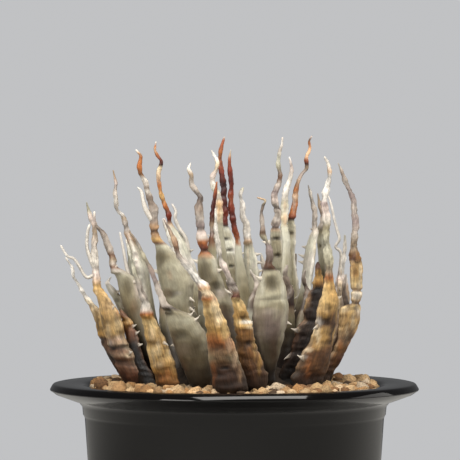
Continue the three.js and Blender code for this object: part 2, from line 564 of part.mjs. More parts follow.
function spineRoot(leaf, up) {
  const rows = spineRows(leaf);
  const nearest = rows.reduce((best, row) => {
    const closer = Math.abs(row.centre.z - POT_HEIGHT - up) < Math.abs(best.centre.z - POT_HEIGHT - up);
    return closer ? row : best;
  });
  return nearest.centre.clone();
}

function leafThreads(leaf, grow) {
  return (leaf.threads ?? []).map((rows) => {
    const points = rows.map(([across, up]) => seenPoint(across, up, leaf.depth[1]));
    const widths = rows.map((row) => row[2]);
    return threadSolid(points, widths, grow);
  });
}

function leafSolid(leaf, grow) {
  const rows = leaf.rows ?? bladeRows(leaf);
  const spine = leaf.spineRows ?? spineRows(leaf);
  const body = toSolid(makeGeometry(leafRings(leaf, rows, spine, grow)));
  return joinAll([body, ...leafThorns(leaf, rows, grow), ...leafThreads(leaf, grow)]);
}

function leafByRule(where, [face, foot, collar, collarUp, tipUp, width, kind], index) {
  const random = seededRandom(WAVE_SEED + index);
  const outward = facing(face);
  const across = new THREE.Vector3(-outward.y, outward.x, 0);
  const place = (distance, up, sway) => {
    const point = outward.clone().multiplyScalar(distance).addScaledVector(across, sway);
    return point.setZ(POT_HEIGHT + up);
  };
  const rows = RULE_WIDTHS.map((share, step) => {
    const part = step / (RULE_WIDTHS.length - 1);
    const distance = THREE.MathUtils.lerp(foot, collar, part);
    const sway = (random() - 0.5) * part;
    return {
      centre: place(distance, THREE.MathUtils.lerp(-1, collarUp, part), sway),
      halfWidth: (width * share) / 2,
    };
  });
  const spineSteps = RULE_SPINE_WIDTHS.length;
  const phase = random() * 2 * Math.PI;
  const spine = RULE_SPINE_WIDTHS.map((share, step) => {
    const part = (step + 0.6) / (spineSteps - 0.4);
    const up = THREE.MathUtils.lerp(collarUp, tipUp, part);
    const sway = WAVE_SWAY * Math.sin(phase + part * 5) * Math.min(1, part * 2);
    const wave = WAVE_SWAY * Math.cos(phase + part * 4) * Math.min(1, part * 2);
    return { centre: place(collar + wave, up, sway), width: width * share };
  });
  const thorns = [[-1, collarUp * 0.7, 2, 1], [1, collarUp * 0.55, 2, 1], [1, collarUp * 0.85, 2, 1]];
  return {
    name: `${kind}_leaf_${where}_${index + 1}`, kind, face, rows, spineRows: spine, thorns,
  };
}

function lathe(profile, sides) {
  const points = profile.map(([radius, z]) => new THREE.Vector2(radius, z));
  const geometry = new THREE.LatheGeometry(points, sides);
  geometry.rotateX(Math.PI / 2);
  const solid = toSolid(geometry);
  if (solid.volume() > 0) return solid;
  const index = geometry.index.array;
  for (let corner = 0; corner < index.length; corner += 3) {
    [index[corner], index[corner + 1]] = [index[corner + 1], index[corner]];
  }
  return toSolid(geometry);
}

function potSolid() {
  const rim = POT_HEIGHT;
  const profile = [
    [DRAIN_RADIUS, FOOT_RING_HEIGHT], [FOOT_RING_RADIUS, FOOT_RING_HEIGHT],
    [FOOT_RING_RADIUS + 1, 0], [FOOT_RADIUS - 1, 0], [FOOT_RADIUS, 1.2],
    [59.7, rim - 31.5], [60.9, rim - 14], [COLLAR_RADIUS, rim - 12.6],
    [COLLAR_RADIUS + 0.3, rim - 9.4], [66, rim - 6.6], [72.6, rim - LIP_THICK - 0.4],
    [LIP_RADIUS - 0.7, rim - 3], [LIP_RADIUS, rim - 1.8], [LIP_RADIUS - 0.6, rim - 0.5],
    [LIP_RADIUS - 2, rim], [MOUTH_RADIUS + 3.2, rim - 0.2], [MOUTH_RADIUS + 0.8, rim - 1],
    [MOUTH_RADIUS, rim - 3], [61.6 - WALL, rim - 13], [FOOT_RADIUS - WALL + 0.6, FOOT_RING_HEIGHT + FLOOR_THICK + 2],
    [FOOT_RADIUS - WALL - 1.6, FOOT_RING_HEIGHT + FLOOR_THICK], [DRAIN_RADIUS, FOOT_RING_HEIGHT + FLOOR_THICK],
    [DRAIN_RADIUS, FOOT_RING_HEIGHT],
  ];
  return lathe(profile, POT_SIDES);
}

// The mix fills the pot from its floor up to the gravel, round the buried stem
function soilSolid(stemGrown) {
  const floor = FOOT_RING_HEIGHT + FLOOR_THICK + GAP;
  const top = POT_HEIGHT - SOIL_TOP_BELOW_RIM;
  const profile = [
    [0, floor], [FOOT_RADIUS - WALL - 2, floor], [FOOT_RADIUS - WALL + 0.2, floor + 2],
    [58.4 - GAP - 0.2, top - 2.4], [58.4 - GAP, top], [0, top],
  ];
  return lathe(profile, POT_SIDES).subtract(stemGrown);
}

function stemSolid(grow) {
  const rim = POT_HEIGHT;
  const profile = [
    [0, rim + STEM_BOTTOM - grow], [STEM_NECK * 0.7 + grow, rim + STEM_BOTTOM - grow],
    [STEM_NECK + grow, rim + STEM_BOTTOM + 6], [STEM_NECK + 4 + grow, rim - 22],
    [STEM_RADIUS - 2 + grow, rim - 9], [STEM_RADIUS + grow, rim - 4],
    [STEM_RADIUS - 1 + grow, rim + 1], [STEM_RADIUS - 9 + grow, rim + STEM_TOP - 4],
    [STEM_RADIUS - 20 + grow, rim + STEM_TOP], [0, rim + STEM_TOP + grow],
  ];
  return lathe(profile, STEM_SIDES);
}

function granuleSolid(random, centre, radius) {
  const geometry = new THREE.OctahedronGeometry(radius * GRANULE_CORNERS, 0);
  geometry.rotateZ(Math.PI / 4);
  geometry.rotateX(Math.atan(Math.SQRT2));
  geometry.scale(0.85 + 0.3 * random(), 0.8 + 0.3 * random(), 0.8 + 0.4 * random());
  geometry.rotateX(0.5 * (random() - 0.5));
  geometry.rotateZ(random() * 2 * Math.PI);
  geometry.translate(centre.x, centre.y, centre.z);
  return toSolid(geometry);
}

// Granules are drawn at random over the ring of bare gravel and kept apart from each other
function granulePlaces(random) {
  const places = [];
  const outer = MOUTH_RADIUS - GAP - 3.4;
  for (let attempt = 0; attempt < 60000 && places.length < GRANULES; attempt += 1) {
    const distance = Math.sqrt(THREE.MathUtils.lerp(38 ** 2, outer ** 2, random()));
    const angle = random() * 2 * Math.PI;
    const radius = GRANULE_RADIUS * (0.75 + 0.5 * random());
    const x = distance * Math.cos(angle);
    const y = distance * Math.sin(angle);
    const clear = places.every((other) => {
      return Math.hypot(other.x - x, other.y - y) > other.radius + radius + 0.5;
    });
    if (clear && distance + radius < MOUTH_RADIUS - GAP - 0.3) places.push({ x, y, radius });
  }
  return places;
}

function gravelSolid(cutters) {
  const top = POT_HEIGHT - GRAVEL_TOP_BELOW_RIM;
  const bottom = POT_HEIGHT - SOIL_TOP_BELOW_RIM + GAP;
  const profile = [
    [28, bottom], [58.4 - GAP, bottom], [MOUTH_RADIUS - GAP - 0.5, top - 0.4], [28, top + 0.8],
    [28, bottom],
  ];
  const random = seededRandom(GRANULE_SEED);
  let bed = lathe(profile, POT_SIDES);
  for (const { x, y, radius } of granulePlaces(random)) {
    const lift = 0.5 + radius * (0.15 + 0.25 * random());
    const granule = granuleSolid(random, new THREE.Vector3(x, y, top + lift), radius);
    const blocked = cutters.some((cutter) => granule.intersect(cutter).volume() > 1);
    if (!blocked) bed = bed.add(granule);
  }
  return cutters.reduce((left, cutter) => left.subtract(cutter), bed);
}

function makeMesh(name, solid, colour, roughness) {
  const material = new THREE.MeshStandardMaterial({ color: colour, roughness, metalness: 0 });
  const mesh = new THREE.Mesh(toGeometry(solid), material);
  mesh.name = name;
  return mesh;
}

function overlaps(first, second) {
  const a = first.boundingBox();
  const b = second.boundingBox();
  return [0, 1, 2].every((axis) => a.min[axis] < b.max[axis] && b.min[axis] < a.max[axis]);
}

const plant = new THREE.Group();
const stem = stemSolid(0);
const stemGrown = stemSolid(GAP);
plant.add(makeMesh("stem", stem, 0x7a6a4a, 0.8));

// Each leaf gives way to the stem and to the leaves in front of it in the list
const grownLeaves = [];
const allLeaves = [
  ...LEAVES,
  ...BACK_LEAVES.map((row, index) => leafByRule("back", row, index)),
  ...INNER_LEAVES.map((row, index) => leafByRule("inner", row, index)),
];
for (const leaf of allLeaves) {
  let solid = leafSolid(leaf, 0).subtract(stemGrown);
  for (const other of grownLeaves) {
    if (overlaps(solid, other)) solid = solid.subtract(other);
  }
  grownLeaves.push(leafSolid(leaf, GAP));
  plant.add(makeMesh(leaf.name, largestBody(solid), COLOURS[leaf.kind], 0.7));
}

const object = new THREE.Group();
object.add(plant);
object.add(makeMesh("pot", potSolid(), 0x0d0c0b, 0.2));
object.add(makeMesh("soil_mix", soilSolid(stemGrown), 0x8a6a48, 0.95));
object.add(makeMesh("gravel", largestBody(gravelSolid([stemGrown, ...grownLeaves])), 0xd9b98e, 0.9));

export default object;
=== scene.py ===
"""A small agave with long wavy spines, in a black round pot topped with pumice gravel."""
import math

import bmesh
import bpy
from bpy.props import FloatProperty, FloatVectorProperty, IntProperty, PointerProperty
from mathutils import Matrix, Vector, noise


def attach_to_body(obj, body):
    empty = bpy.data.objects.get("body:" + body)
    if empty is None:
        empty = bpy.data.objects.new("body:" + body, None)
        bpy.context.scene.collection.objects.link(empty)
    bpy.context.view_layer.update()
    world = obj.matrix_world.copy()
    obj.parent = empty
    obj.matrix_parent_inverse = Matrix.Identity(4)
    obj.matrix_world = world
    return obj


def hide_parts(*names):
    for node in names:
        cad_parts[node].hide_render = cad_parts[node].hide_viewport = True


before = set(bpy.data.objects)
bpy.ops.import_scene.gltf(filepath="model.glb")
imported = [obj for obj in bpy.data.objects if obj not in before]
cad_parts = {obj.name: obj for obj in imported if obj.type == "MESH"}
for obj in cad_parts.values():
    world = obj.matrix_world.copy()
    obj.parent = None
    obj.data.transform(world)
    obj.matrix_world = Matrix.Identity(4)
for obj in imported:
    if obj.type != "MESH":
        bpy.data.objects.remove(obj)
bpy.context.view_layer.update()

bl_info = {
    "name": "Potted Eborispina Agave",
    "version": (1, 0, 0),
    "blender": (4, 5, 0),
    "location": "View3D > Sidebar > Agave",
    "description": "Grows an agave rosette leaf by leaf, in a black pot filled with pumice",
    "category": "Add Mesh",
}

MM = 0.001

# Pot, in millimetres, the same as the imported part
POT_HEIGHT = 120
LIP_RADIUS = 75
LIP_THICK = 3.8
COLLAR_RADIUS = 61.6
FOOT_RADIUS = 52
FOOT_RING_RADIUS = 46
FOOT_RING_HEIGHT = 4
MOUTH_RADIUS = 59.6
WALL = 2.8
FLOOR_THICK = 4
DRAIN_RADIUS = 11

# Filling
GRAVEL_TOP_BELOW_RIM = 2.2
GAP = 0.35

# Stem that every leaf clasps
STEM_RADIUS = 32
STEM_NECK = 14
STEM_BOTTOM = -36
STEM_TOP = 12
ROOT_UP = -7
ROOT_RADIUS = 27
ROOT_NARROWING = 0.7

# The leaves below are written as they line up on the pot's axis plane for an eye level with
# EYE_UP above the rim and EYE_DISTANCE in front of the axis. depth moves a point along that line.
EYE_X = -1.8
EYE_UP = 62.2
EYE_DISTANCE = 1000
LENS = 192
SENSOR = 36

PLUMPNESS = {"green": 0.5, "pale": 0.42, "straw": 0.42, "brown": 0.4, "young": 0.55}
SPINE_ROUNDNESS = 0.85
THINNEST = 0.62
# The tip's width as a share of its row's, its end's as a share of the tip's, and how far the
# end stands beyond it
TIP_WIDTH = 0.72
TIP_END_WIDTH = 0.35
TIP_REACH = 0.25

# The colours that a leaf takes along its length, as sRGB hex values
PAINTS = {
    "white": "#dcd6cd", "ivory": "#cdc5b9", "cream": "#dcc9a8", "pinkish": "#c9b8ae",
    "stone": "#b8aca0", "grey": "#a0968c", "taupe": "#857568", "mauve": "#8a7a76",
    "slate": "#6c5e56", "smoke": "#4e423a", "soot": "#2a1e18", "black": "#130d09",
    "ring": "#2e100a", "oxblood": "#4c1c14", "maroon": "#702c1a", "brick": "#8a4a2e",
    "rust": "#9c5e30", "copper": "#b8703c", "peach": "#dcb48e", "sand": "#cfab78",
    "straw": "#d6b880", "wheat": "#bf9a60", "honey": "#a57e42", "amber": "#8c6230",
    "bark": "#6e4a28", "umber": "#4c3220", "cocoa": "#7c5a44", "chestnut": "#5c3624",
    "mist": "#cfccba", "sage": "#b4af99", "tan": "#ab8866", "dun": "#b89c80", "leaf": "#a69f87",
    "moss": "#8c8267", "olive": "#6a5f48", "deep": "#41382a", "coffee": "#3a2416",
    "fawn": "#96826a",
}

# blade: rows of (left edge, right edge, height above the rim), from the foot to the collar.
# spine: rows of (centre, height above the rim, width), from the collar to the tip.
# depth: towards the front at the foot, the collar and the tip. face: the way the outer side
# looks, in degrees from the front, positive to the right.
# thorns: rows of (side, height, length, rise). threads: rows like the spine's, root first.
# tints: rows of (height, paint), from the tip to the foot, with painted light and shade in them:
# painted highlights where a leaf is lit, painted shade in its grooves, and dark to black at the
# foot, painted shade where the leaves crowd. grooves: rows of (height, half height, depth), all
# round. pits: rows of (across, height, half width, half height, depth).
# patches: rows of (across, height, half width, half height, paint, strength), on the front.
# Some are the leaf's own marks, the rest painted light and painted shade: lit facets and edges,
# painted highlights, and dark shaded sides, hollows and grooves.
LEAVES = [
    {
        "name": "straw_leaf_front_left_centre", "kind": "straw", "face": -10,
        "depth": (41, 50, 52),
        "blade": [(-8.7, 5.5, -3.4), (-9.7, 3.5, 4.7), (-10.4, 0.8, 11.2), (-11.2, -1.2, 17.8),
            (-12, -3.8, 25.5), (-12.8, -6.7, 32)],
        "spine": [(-11.2, 36.1, 4.2), (-12.2, 38.6, 3.5), (-14.7, 41.2, 3.3), (-16.9, 44.3, 3),
            (-19.9, 48.3, 2.6), (-22.6, 51.6, 2.3), (-24.6, 58.1, 2), (-28.7, 66.7, 1)],
        "tints": [(66.7, "pinkish"), (59.8, "dun"), (54.9, "cocoa"), (50.8, "stone"),
            (46.7, "white"), (41, "white"), (38.6, "tan"), (36.5, "cream"), (34.1, "rust"),
            (32.4, "wheat"), (29.6, "straw"), (24.7, "wheat"), (21, "honey"), (16.6, "rust"),
            (13.3, "bark"), (10, "olive"), (6.8, "umber"), (3.5, "coffee"), (-3, "soot")],
        "pits": [(-3.8, 6, 1.9, 0.5, 0.9), (-7.1, 14.5, 2.6, 1.2, 0.5),
            (-9.5, 26.3, 2.2, 2, 0.35)],
        "patches": [(-8.3, 31.6, 1.3, 3, "cream", 0.6), (-6.3, 26.7, 1.4, 3.2, "cream", 0.7),
            (-3.8, 21, 1.3, 3.4, "straw", 0.6), (-2.2, 15.3, 1.1, 3, "dun", 0.6),
            (-11.6, 23.9, 1.2, 5, "honey", 0.6), (-9.5, 17.4, 2.2, 2.6, "rust", 0.5),
            (-5.5, 14.9, 1.5, 1, "umber", 0.6), (-5.9, 12.1, 2.4, 1.4, "tan", 0.35),
            (-5.5, 8.8, 3, 2.4, "bark", 0.5), (0.2, 9.2, 0.8, 3, "dun", 0.6),
            (2.3, 3.5, 0.7, 3.4, "tan", 0.6), (-3.8, 6, 2.2, 0.7, "black", 0.8),
            (-8.7, 3.5, 0.8, 4, "rust", 0.45), (-11.2, 32, 1, 1.6, "amber", 0.5)],
    },
    {
        "name": "straw_leaf_front_centre", "kind": "straw", "face": 8,
        "depth": (36, 45, 48),
        "blade": [(3.5, 12.2, -3), (2.7, 13.9, 1.9), (1.1, 11, 9.2), (0.8, 9, 14.9),
            (0.4, 7.4, 22.3), (-0.4, 5.9, 27.6), (-0.6, 3.9, 32.4)],
        "spine": [(0.5, 34.7, 3.6), (0.8, 36.7, 2.9), (-1, 39.8, 2.7), (-2.2, 43, 2.5),
            (-4, 46.9, 2.3), (-5.5, 50, 2.1), (-6.3, 54.9, 1.8), (-7.5, 62.2, 1.5),
            (-7.7, 70.8, 0.9)],
        "tints": [(70.8, "ivory"), (65.5, "white"), (58.9, "ivory"), (52, "ivory"),
            (45.9, "pinkish"), (41.8, "grey"), (39.8, "smoke"), (38.2, "stone"), (36.5, "cocoa"),
            (34.9, "oxblood"), (33.7, "straw"), (30.4, "wheat"), (27.1, "honey"), (24.7, "straw"),
            (23.1, "wheat"), (21.4, "amber"), (15.3, "bark"), (10, "bark"), (4.3, "umber"),
            (-3, "soot")],
        "pits": [(3.9, 25.9, 2, 0.6, 0.8), (6.4, 16.1, 1.4, 1.4, 0.9), (3.5, 21.4, 3, 0.7, 0.5)],
        "patches": [(1.9, 31.2, 1.3, 2.2, "straw", 0.5), (5.1, 24.7, 2.4, 0.7, "white", 0.85),
            (3.1, 26.7, 1.6, 0.6, "bark", 0.6), (0.6, 27.6, 0.9, 3.4, "honey", 0.5),
            (6.4, 22.7, 1.6, 0.8, "cream", 0.6), (3.9, 21, 2.6, 0.8, "bark", 0.6),
            (6.4, 16.1, 1.1, 1.2, "soot", 0.75), (8.4, 14.1, 0.6, 4, "wheat", 0.6),
            (10.4, 7.6, 0.7, 4, "honey", 0.7), (2.7, 12.5, 0.5, 6, "amber", 0.45),
            (4.7, 8.4, 0.5, 6, "soot", 0.4), (7.2, 6, 0.5, 5, "umber", 0.5)],
    },
    {
        "name": "green_leaf_front_left", "kind": "green", "face": -22,
        "depth": (31, 39, 41),
        "blade": [(-18.1, -9.8, -1), (-21.4, -9.6, 6.4), (-25, -10.4, 15.3), (-26.3, -12, 19.4),
            (-27.5, -14.4, 23.5), (-28.3, -18.1, 27.6)],
        "spine": [(-28.4, 31.2, 2.8), (-29.5, 34.1, 2.4), (-31.4, 38.6, 2.2), (-33.2, 43.9, 1.8),
            (-34.8, 47.5, 1.6), (-37.3, 52, 1.4), (-39.7, 57.3, 1.2), (-42.8, 61.4, 0.8)],
        "thorns": [(1, 26.6, 2, 2.4), (1, 28.4, 1.4, 3), (-1, 17, 1.2, -0.6)],
        "tints": [(61.4, "fawn"), (56.9, "grey"), (51.6, "leaf"), (47.5, "taupe"), (42.6, "mauve"),
            (38.6, "stone"), (32, "stone"), (30.4, "smoke"), (28.8, "moss"), (25.5, "leaf"),
            (20.6, "moss"), (15.3, "olive"), (10, "olive"), (5.1, "deep"), (-2.2, "black")],
        "pits": [(-23, 19.4, 2.4, 2, 0.5), (-26.3, 28.8, 1.6, 1.6, 0.5)],
        "patches": [(-18.9, 25.1, 2.2, 1.4, "sage", 0.55), (-15.3, 21.4, 1.6, 2, "sage", 0.6),
            (-12.4, 16.6, 1, 3.4, "leaf", 0.6), (-21.8, 19.8, 3, 2.2, "deep", 0.5),
            (-25.4, 14.5, 1.4, 6, "umber", 0.55), (-20.6, 13.7, 2.4, 2.4, "taupe", 0.35),
            (-16.1, 12.5, 2, 5, "deep", 0.45), (-22.2, 7.2, 2.6, 4, "umber", 0.5),
            (-27.1, 28.8, 1.4, 1.4, "soot", 0.6)],
    },
    {
        "name": "green_leaf_front_right_centre", "kind": "green", "face": 15,
        "depth": (33, 41, 41),
        "blade": [(13, 16.6, -1), (12.9, 16.6, 4.7), (11.6, 17.8, 9.2), (9.6, 19.4, 14.9),
            (8.2, 21.2, 22.3), (7.8, 22.2, 28.4), (8.6, 21.8, 34.1), (10, 20.6, 39.4),
            (11.7, 18.8, 44.7)],
        "spine": [(13.9, 47.6, 3.2), (14.5, 50.8, 2.6), (14.2, 54, 2.5), (13.3, 56.9, 2.2),
            (11.7, 60, 2), (11.5, 63.8, 1.8), (11.1, 68.8, 1.6), (11.7, 72.2, 1.3),
            (12.6, 74.2, 1.1), (9.4, 75.4, 0.8)],
        "thorns": [(-1, 43, 2.2, 1.4), (1, 26, 1.6, -1), (-1, 57.5, 2, 0.6)],
        "tints": [(75.2, "dun"), (74, "cream"), (72.8, "deep"), (70.4, "taupe"), (65.5, "grey"),
            (62.6, "taupe"), (61, "umber"), (58.9, "leaf"), (55.7, "mauve"), (51.6, "slate"),
            (48.3, "umber"), (46.3, "coffee"), (45.1, "leaf"), (41, "moss"), (36.9, "leaf"),
            (33.7, "leaf"), (31.2, "moss"), (27.1, "taupe"), (21.4, "slate"), (15.3, "deep"),
            (9.2, "deep"), (4.3, "black")],
        "pits": [(15.3, 40.2, 2.9, 3.1, 0.9), (16.5, 34.1, 4.2, 0.7, 0.45),
            (11.2, 58.1, 1.2, 1, 0.5)],
        "patches": [(14.9, 40.2, 2.6, 2.8, "olive", 0.65), (11.2, 40.2, 0.8, 4, "mist", 0.45),
            (18.6, 42.6, 1.2, 3, "sage", 0.4), (19.8, 37.3, 0.9, 4, "mist", 0.5),
            (21, 30.4, 0.8, 5, "sage", 0.55), (20.2, 23.1, 0.7, 5, "sage", 0.5),
            (18.2, 14.9, 0.6, 5, "moss", 0.5), (13.7, 33.9, 4.2, 0.5, "deep", 0.45),
            (11.2, 32, 3, 1, "sage", 0.45), (14.1, 24.7, 2.2, 5, "slate", 0.5),
            (9.6, 24.7, 1, 6, "olive", 0.55), (16.1, 15.3, 1.6, 6, "umber", 0.4),
            (12.1, 49.2, 0.5, 2, "pinkish", 0.4), (11.2, 21.4, 0.7, 7, "olive", 0.5),
            (17.4, 28.8, 1.2, 3, "leaf", 0.5), (14.5, 29.2, 2.6, 1.2, "stone", 0.35),
            (19.4, 21.4, 0.5, 7, "leaf", 0.6)],
    },
    {
        "name": "straw_leaf_front_left", "kind": "straw", "face": -32,
        "depth": (29, 35, 37),
        "blade": [(-31.1, -22, -2.2), (-33.2, -23.4, 3.1), (-34.8, -24.8, 8.8), (-36, -27.7, 15.3),
            (-37.3, -30.3, 21.4), (-37.9, -32.4, 25.5)],
        "spine": [(-36, 28.4, 4.2), (-36.4, 32.5, 3.6), (-37.9, 36.1, 3), (-39.3, 41.2, 2.3),
            (-40.5, 44.3, 1.9), (-42.2, 50.4, 1.5), (-44.2, 58.1, 0.9)],
        "thorns": [(1, 18, 1.6, -1.2)],
        "tints": [(58.1, "ivory"), (52, "mist"), (45.1, "sage"), (39.8, "stone"), (34.9, "stone"),
            (31.6, "ivory"), (29.6, "stone"), (28, "rust"), (26.3, "honey"), (24.7, "straw"),
            (19.4, "wheat"), (16.1, "honey"), (12.5, "straw"), (8.4, "wheat"), (5.5, "honey"),
            (2.7, "amber"), (-0.6, "bark"), (-3, "soot")],
        "pits": [(-29.1, 4.3, 1.8, 2.6, 0.4), (-34.4, 16.1, 2.4, 0.9, 0.35),
            (-27.1, 11.3, 1.5, 1.8, 0.3)],
        "patches": [(-33.6, 19.8, 1.4, 3, "cream", 0.4), (-35.2, 16.1, 2.4, 0.8, "honey", 0.45),
            (-31.1, 14.5, 1, 3, "cream", 0.5), (-33.2, 10, 0.7, 4, "cream", 0.45),
            (-34.4, 6.8, 1.2, 4, "amber", 0.5), (-29.1, 13.3, 1, 2.4, "honey", 0.5),
            (-30.3, 7.2, 1.8, 1.4, "cream", 0.4), (-27.1, 4.3, 1.4, 2, "rust", 0.5),
            (-25.9, 13.3, 0.7, 1.6, "white", 0.6), (-25, 10.4, 0.6, 1.4, "soot", 0.4),
            (-29.9, 1.9, 2, 1.6, "rust", 0.4), (-32, 12.5, 0.4, 4, "wheat", 0.5),
            (-28.7, 9.2, 0.5, 4, "amber", 0.5), (-31.1, 5.1, 0.5, 4, "umber", 0.5),
            (-36, 23.5, 0.5, 3, "wheat", 0.5), (-27.5, 14.1, 1.4, 0.5, "umber", 0.6)],
    },
    {
        "name": "straw_leaf_front_right", "kind": "straw", "face": 38,
        "depth": (25, 30, 28),
        "blade": [(24.5, 36, -1.5), (23.6, 37.3, 2.4), (25.5, 39, 5.9), (27.6, 40, 11.2),
            (32, 41, 19.4), (33.1, 42.2, 23.9), (34.1, 42.6, 29.2), (35.1, 43, 33.3),
            (36.9, 41, 40.2)],
        "spine": [(38.6, 43.6, 3.4), (38.8, 47.7, 3.1), (38, 54, 3), (37.4, 60, 2.8),
            (37.7, 65, 2.9), (37.4, 69.1, 2.8), (36.6, 73.2, 2.6), (37.7, 79.1, 2.4),
            (38.9, 84.4, 1.9), (38.3, 89, 1.4), (36.8, 92, 0.9)],
        "thorns": [(-1, 11.5, 2.4, 1.4), (-1, 24, 1.4, -1), (1, 35, 1.6, 1)],
        "tints": [(92, "ivory"), (89.1, "ivory"), (85.8, "dun"), (84.2, "white"), (74.8, "white"),
            (73.2, "mauve"), (70.4, "pinkish"), (66.3, "ivory"), (63.4, "moss"), (58.9, "sage"),
            (54, "sage"), (49.2, "leaf"), (45.1, "fawn"), (42.6, "rust"), (40.2, "wheat"),
            (30.4, "wheat"), (27.1, "honey"), (23.9, "bark"), (21.4, "wheat"), (17.4, "honey"),
            (14.1, "bark"), (10.8, "umber"), (6.8, "bark"), (3.1, "coffee"), (-2.2, "black")],
        "pits": [(37.3, 24.7, 2.6, 1.5, 1.1), (35.7, 55.7, 1.4, 0.7, 0.5),
            (39, 29.6, 1.8, 1.4, 0.6), (38.6, 23.1, 2, 1.2, 0.7), (41.8, 26.3, 1, 3, 0.5)],
        "patches": [(41.8, 37.7, 0.9, 4, "honey", 0.5), (36.9, 33.7, 1.4, 4, "straw", 0.45),
            (40.6, 27.6, 1.6, 1.6, "bark", 0.75), (37.7, 24.5, 3, 1.1, "umber", 0.7),
            (34.1, 24.7, 1.1, 2, "white", 0.6), (33.3, 21, 1.3, 1.8, "cream", 0.65),
            (40.2, 19.4, 1.6, 5, "umber", 0.75), (35.3, 17, 1.8, 2.8, "wheat", 0.5),
            (30.4, 13.3, 1.4, 0.8, "cream", 0.6), (28, 10.4, 1.6, 0.7, "white", 0.5),
            (34.1, 10.4, 4, 1.2, "bark", 0.5), (30, 6.8, 1, 4, "rust", 0.5),
            (35.7, 8.4, 1, 4, "umber", 0.5), (38.6, 6, 0.9, 4, "amber", 0.5),
            (27.1, 5.1, 1, 3, "umber", 0.5), (41.4, 23.1, 1.4, 4, "coffee", 0.8),
            (40.2, 16.6, 1.3, 4, "coffee", 0.6), (35.7, 9.2, 0.7, 5, "coffee", 0.6),
            (31.6, 6, 0.6, 4, "coffee", 0.6), (33.3, 14.9, 1.6, 1.6, "wheat", 0.5),
            (37.3, 29.6, 1.2, 1.4, "sand", 0.5), (34.1, 18.6, 0.8, 3, "cream", 0.6)],
    },
    {
        "name": "straw_leaf_left", "kind": "straw", "face": -58,
        "depth": (8, 15, 15),
        "blade": [(-44.2, -35.2, -1.6), (-47.4, -34.8, 1.9), (-49.9, -38.9, 7.2),
            (-52.3, -41.3, 12.5), (-53.2, -44.2, 17.4), (-55.2, -45.8, 23.5), (-56, -47.5, 29.2),
            (-56.6, -50.7, 33.7)],
        "spine": [(-56, 38.8, 3.7), (-56.4, 43.4, 3.3), (-56.9, 49, 2.9), (-57.2, 55.3, 2.4),
            (-56.9, 60.4, 2), (-57.3, 64.6, 1.7), (-57.1, 69.6, 1)],
        "thorns": [(1, 31, 1.8, 1.4), (1, 13, 1.8, 0.6)],
        "threads": [
            [(-56.8, 44, 1.9), (-60.2, 42.9, 1.3), (-63.5, 47.8, 1.3), (-65.6, 50.6, 1.2),
                (-68, 51.5, 1.1), (-70.9, 56.1, 0.9)],
            [(-57, 46.7, 2), (-58.5, 50, 1.8), (-60.1, 55.3, 1.4), (-59.8, 61.6, 1.3),
                (-58.8, 64.8, 1)],
        ],
        "tints": [(69.5, "ivory"), (66.3, "pinkish"), (61.8, "fawn"), (56.9, "stone"),
            (52, "ivory"), (47.9, "ivory"), (43.9, "pinkish"), (41, "dun"), (39.4, "wheat"),
            (36.9, "wheat"), (31.2, "sand"), (24.7, "wheat"), (20.2, "wheat"), (17.4, "tan"),
            (15.7, "dun"), (14.5, "soot"), (12.9, "cocoa"), (11.3, "dun"), (10, "cocoa"),
            (8.8, "coffee"), (7.2, "cocoa"), (3.5, "chestnut"), (-2.2, "soot")],
        "grooves": [(14.3, 0.8, 1.1), (8.8, 0.9, 1)],
        "pits": [(-53.2, 21.4, 1.2, 5.5, 0.5), (-47.5, 24.7, 1.4, 1.4, 0.5)],
        "patches": [(-53.6, 24.7, 0.6, 5, "honey", 0.7), (-51.5, 21.4, 1, 3, "cream", 0.4),
            (-47.9, 23.1, 1.2, 3.4, "moss", 0.5), (-56.4, 33.7, 0.6, 4, "cream", 0.4),
            (-51.5, 16.1, 1.8, 1.3, "pinkish", 0.6), (-54.8, 18.2, 1, 1.2, "umber", 0.6),
            (-43.4, 10.8, 1, 0.7, "cream", 0.7), (-48.7, 12.1, 2, 1.4, "cocoa", 0.5),
            (-45, 4.3, 1, 4, "soot", 0.5), (-42.6, 6, 1.2, 3, "cocoa", 0.6),
            (-47.5, 28.8, 0.5, 2, "rust", 0.5), (-49.9, 33.7, 0.4, 4, "bark", 0.4),
            (-52.3, 28.8, 0.4, 5, "bark", 0.4), (-49.9, 17.4, 0.4, 3, "umber", 0.4),
            (-47, 18.2, 1.6, 1, "pinkish", 0.4), (-50.3, 13.7, 2.6, 0.5, "black", 0.8),
            (-45, 15.3, 1.6, 0.5, "black", 0.7)],
    },
    {
        "name": "brown_leaf_right", "kind": "brown", "face": 38,
        "depth": (20, 17, 16),
        "blade": [(18.2, 25, -1), (18.4, 25.6, 2.6), (20.4, 27.6, 8), (23.6, 29.6, 13.8),
            (24.7, 33, 20.4), (27.5, 34.5, 25.5), (29, 35.4, 32.4), (31.2, 36.8, 38.2),
            (32.4, 36.2, 43.2)],
        "spine": [(34.1, 46.2, 2.6), (34, 49, 1)],
        "thorns": [(-1, 22, 3, 1), (-1, 12, 2.6, -1.4), (1, 37, 1.6, 1)],
        "tints": [(49.2, "coffee"), (46.7, "chestnut"), (45.5, "honey"), (42.2, "honey"),
            (39.8, "amber"), (38.6, "black"), (36.5, "soot"), (24.7, "soot"), (22.7, "smoke"),
            (21.4, "soot"), (10, "soot"), (3.1, "black")],
        "grooves": [(38.2, 1.2, 0.9), (25.1, 0.9, 0.6)],
        "pits": [(28, 26.3, 1.6, 1.6, 0.5)],
        "patches": [(28.8, 32.9, 1, 2.6, "sand", 0.85), (27.5, 29.6, 0.8, 2, "tan", 0.7),
            (28, 25.1, 1, 1.4, "tan", 0.65), (25.1, 21.4, 1.2, 0.9, "cream", 0.75),
            (28, 18.2, 0.8, 0.6, "mauve", 0.5), (25.5, 19, 0.6, 2, "cocoa", 0.6),
            (29.2, 38.6, 0.6, 1.6, "tan", 0.6), (31.6, 21, 2, 1.2, "slate", 0.35),
            (36.9, 40.6, 0.6, 0.9, "white", 0.7), (32, 41.4, 0.7, 2, "straw", 0.5),
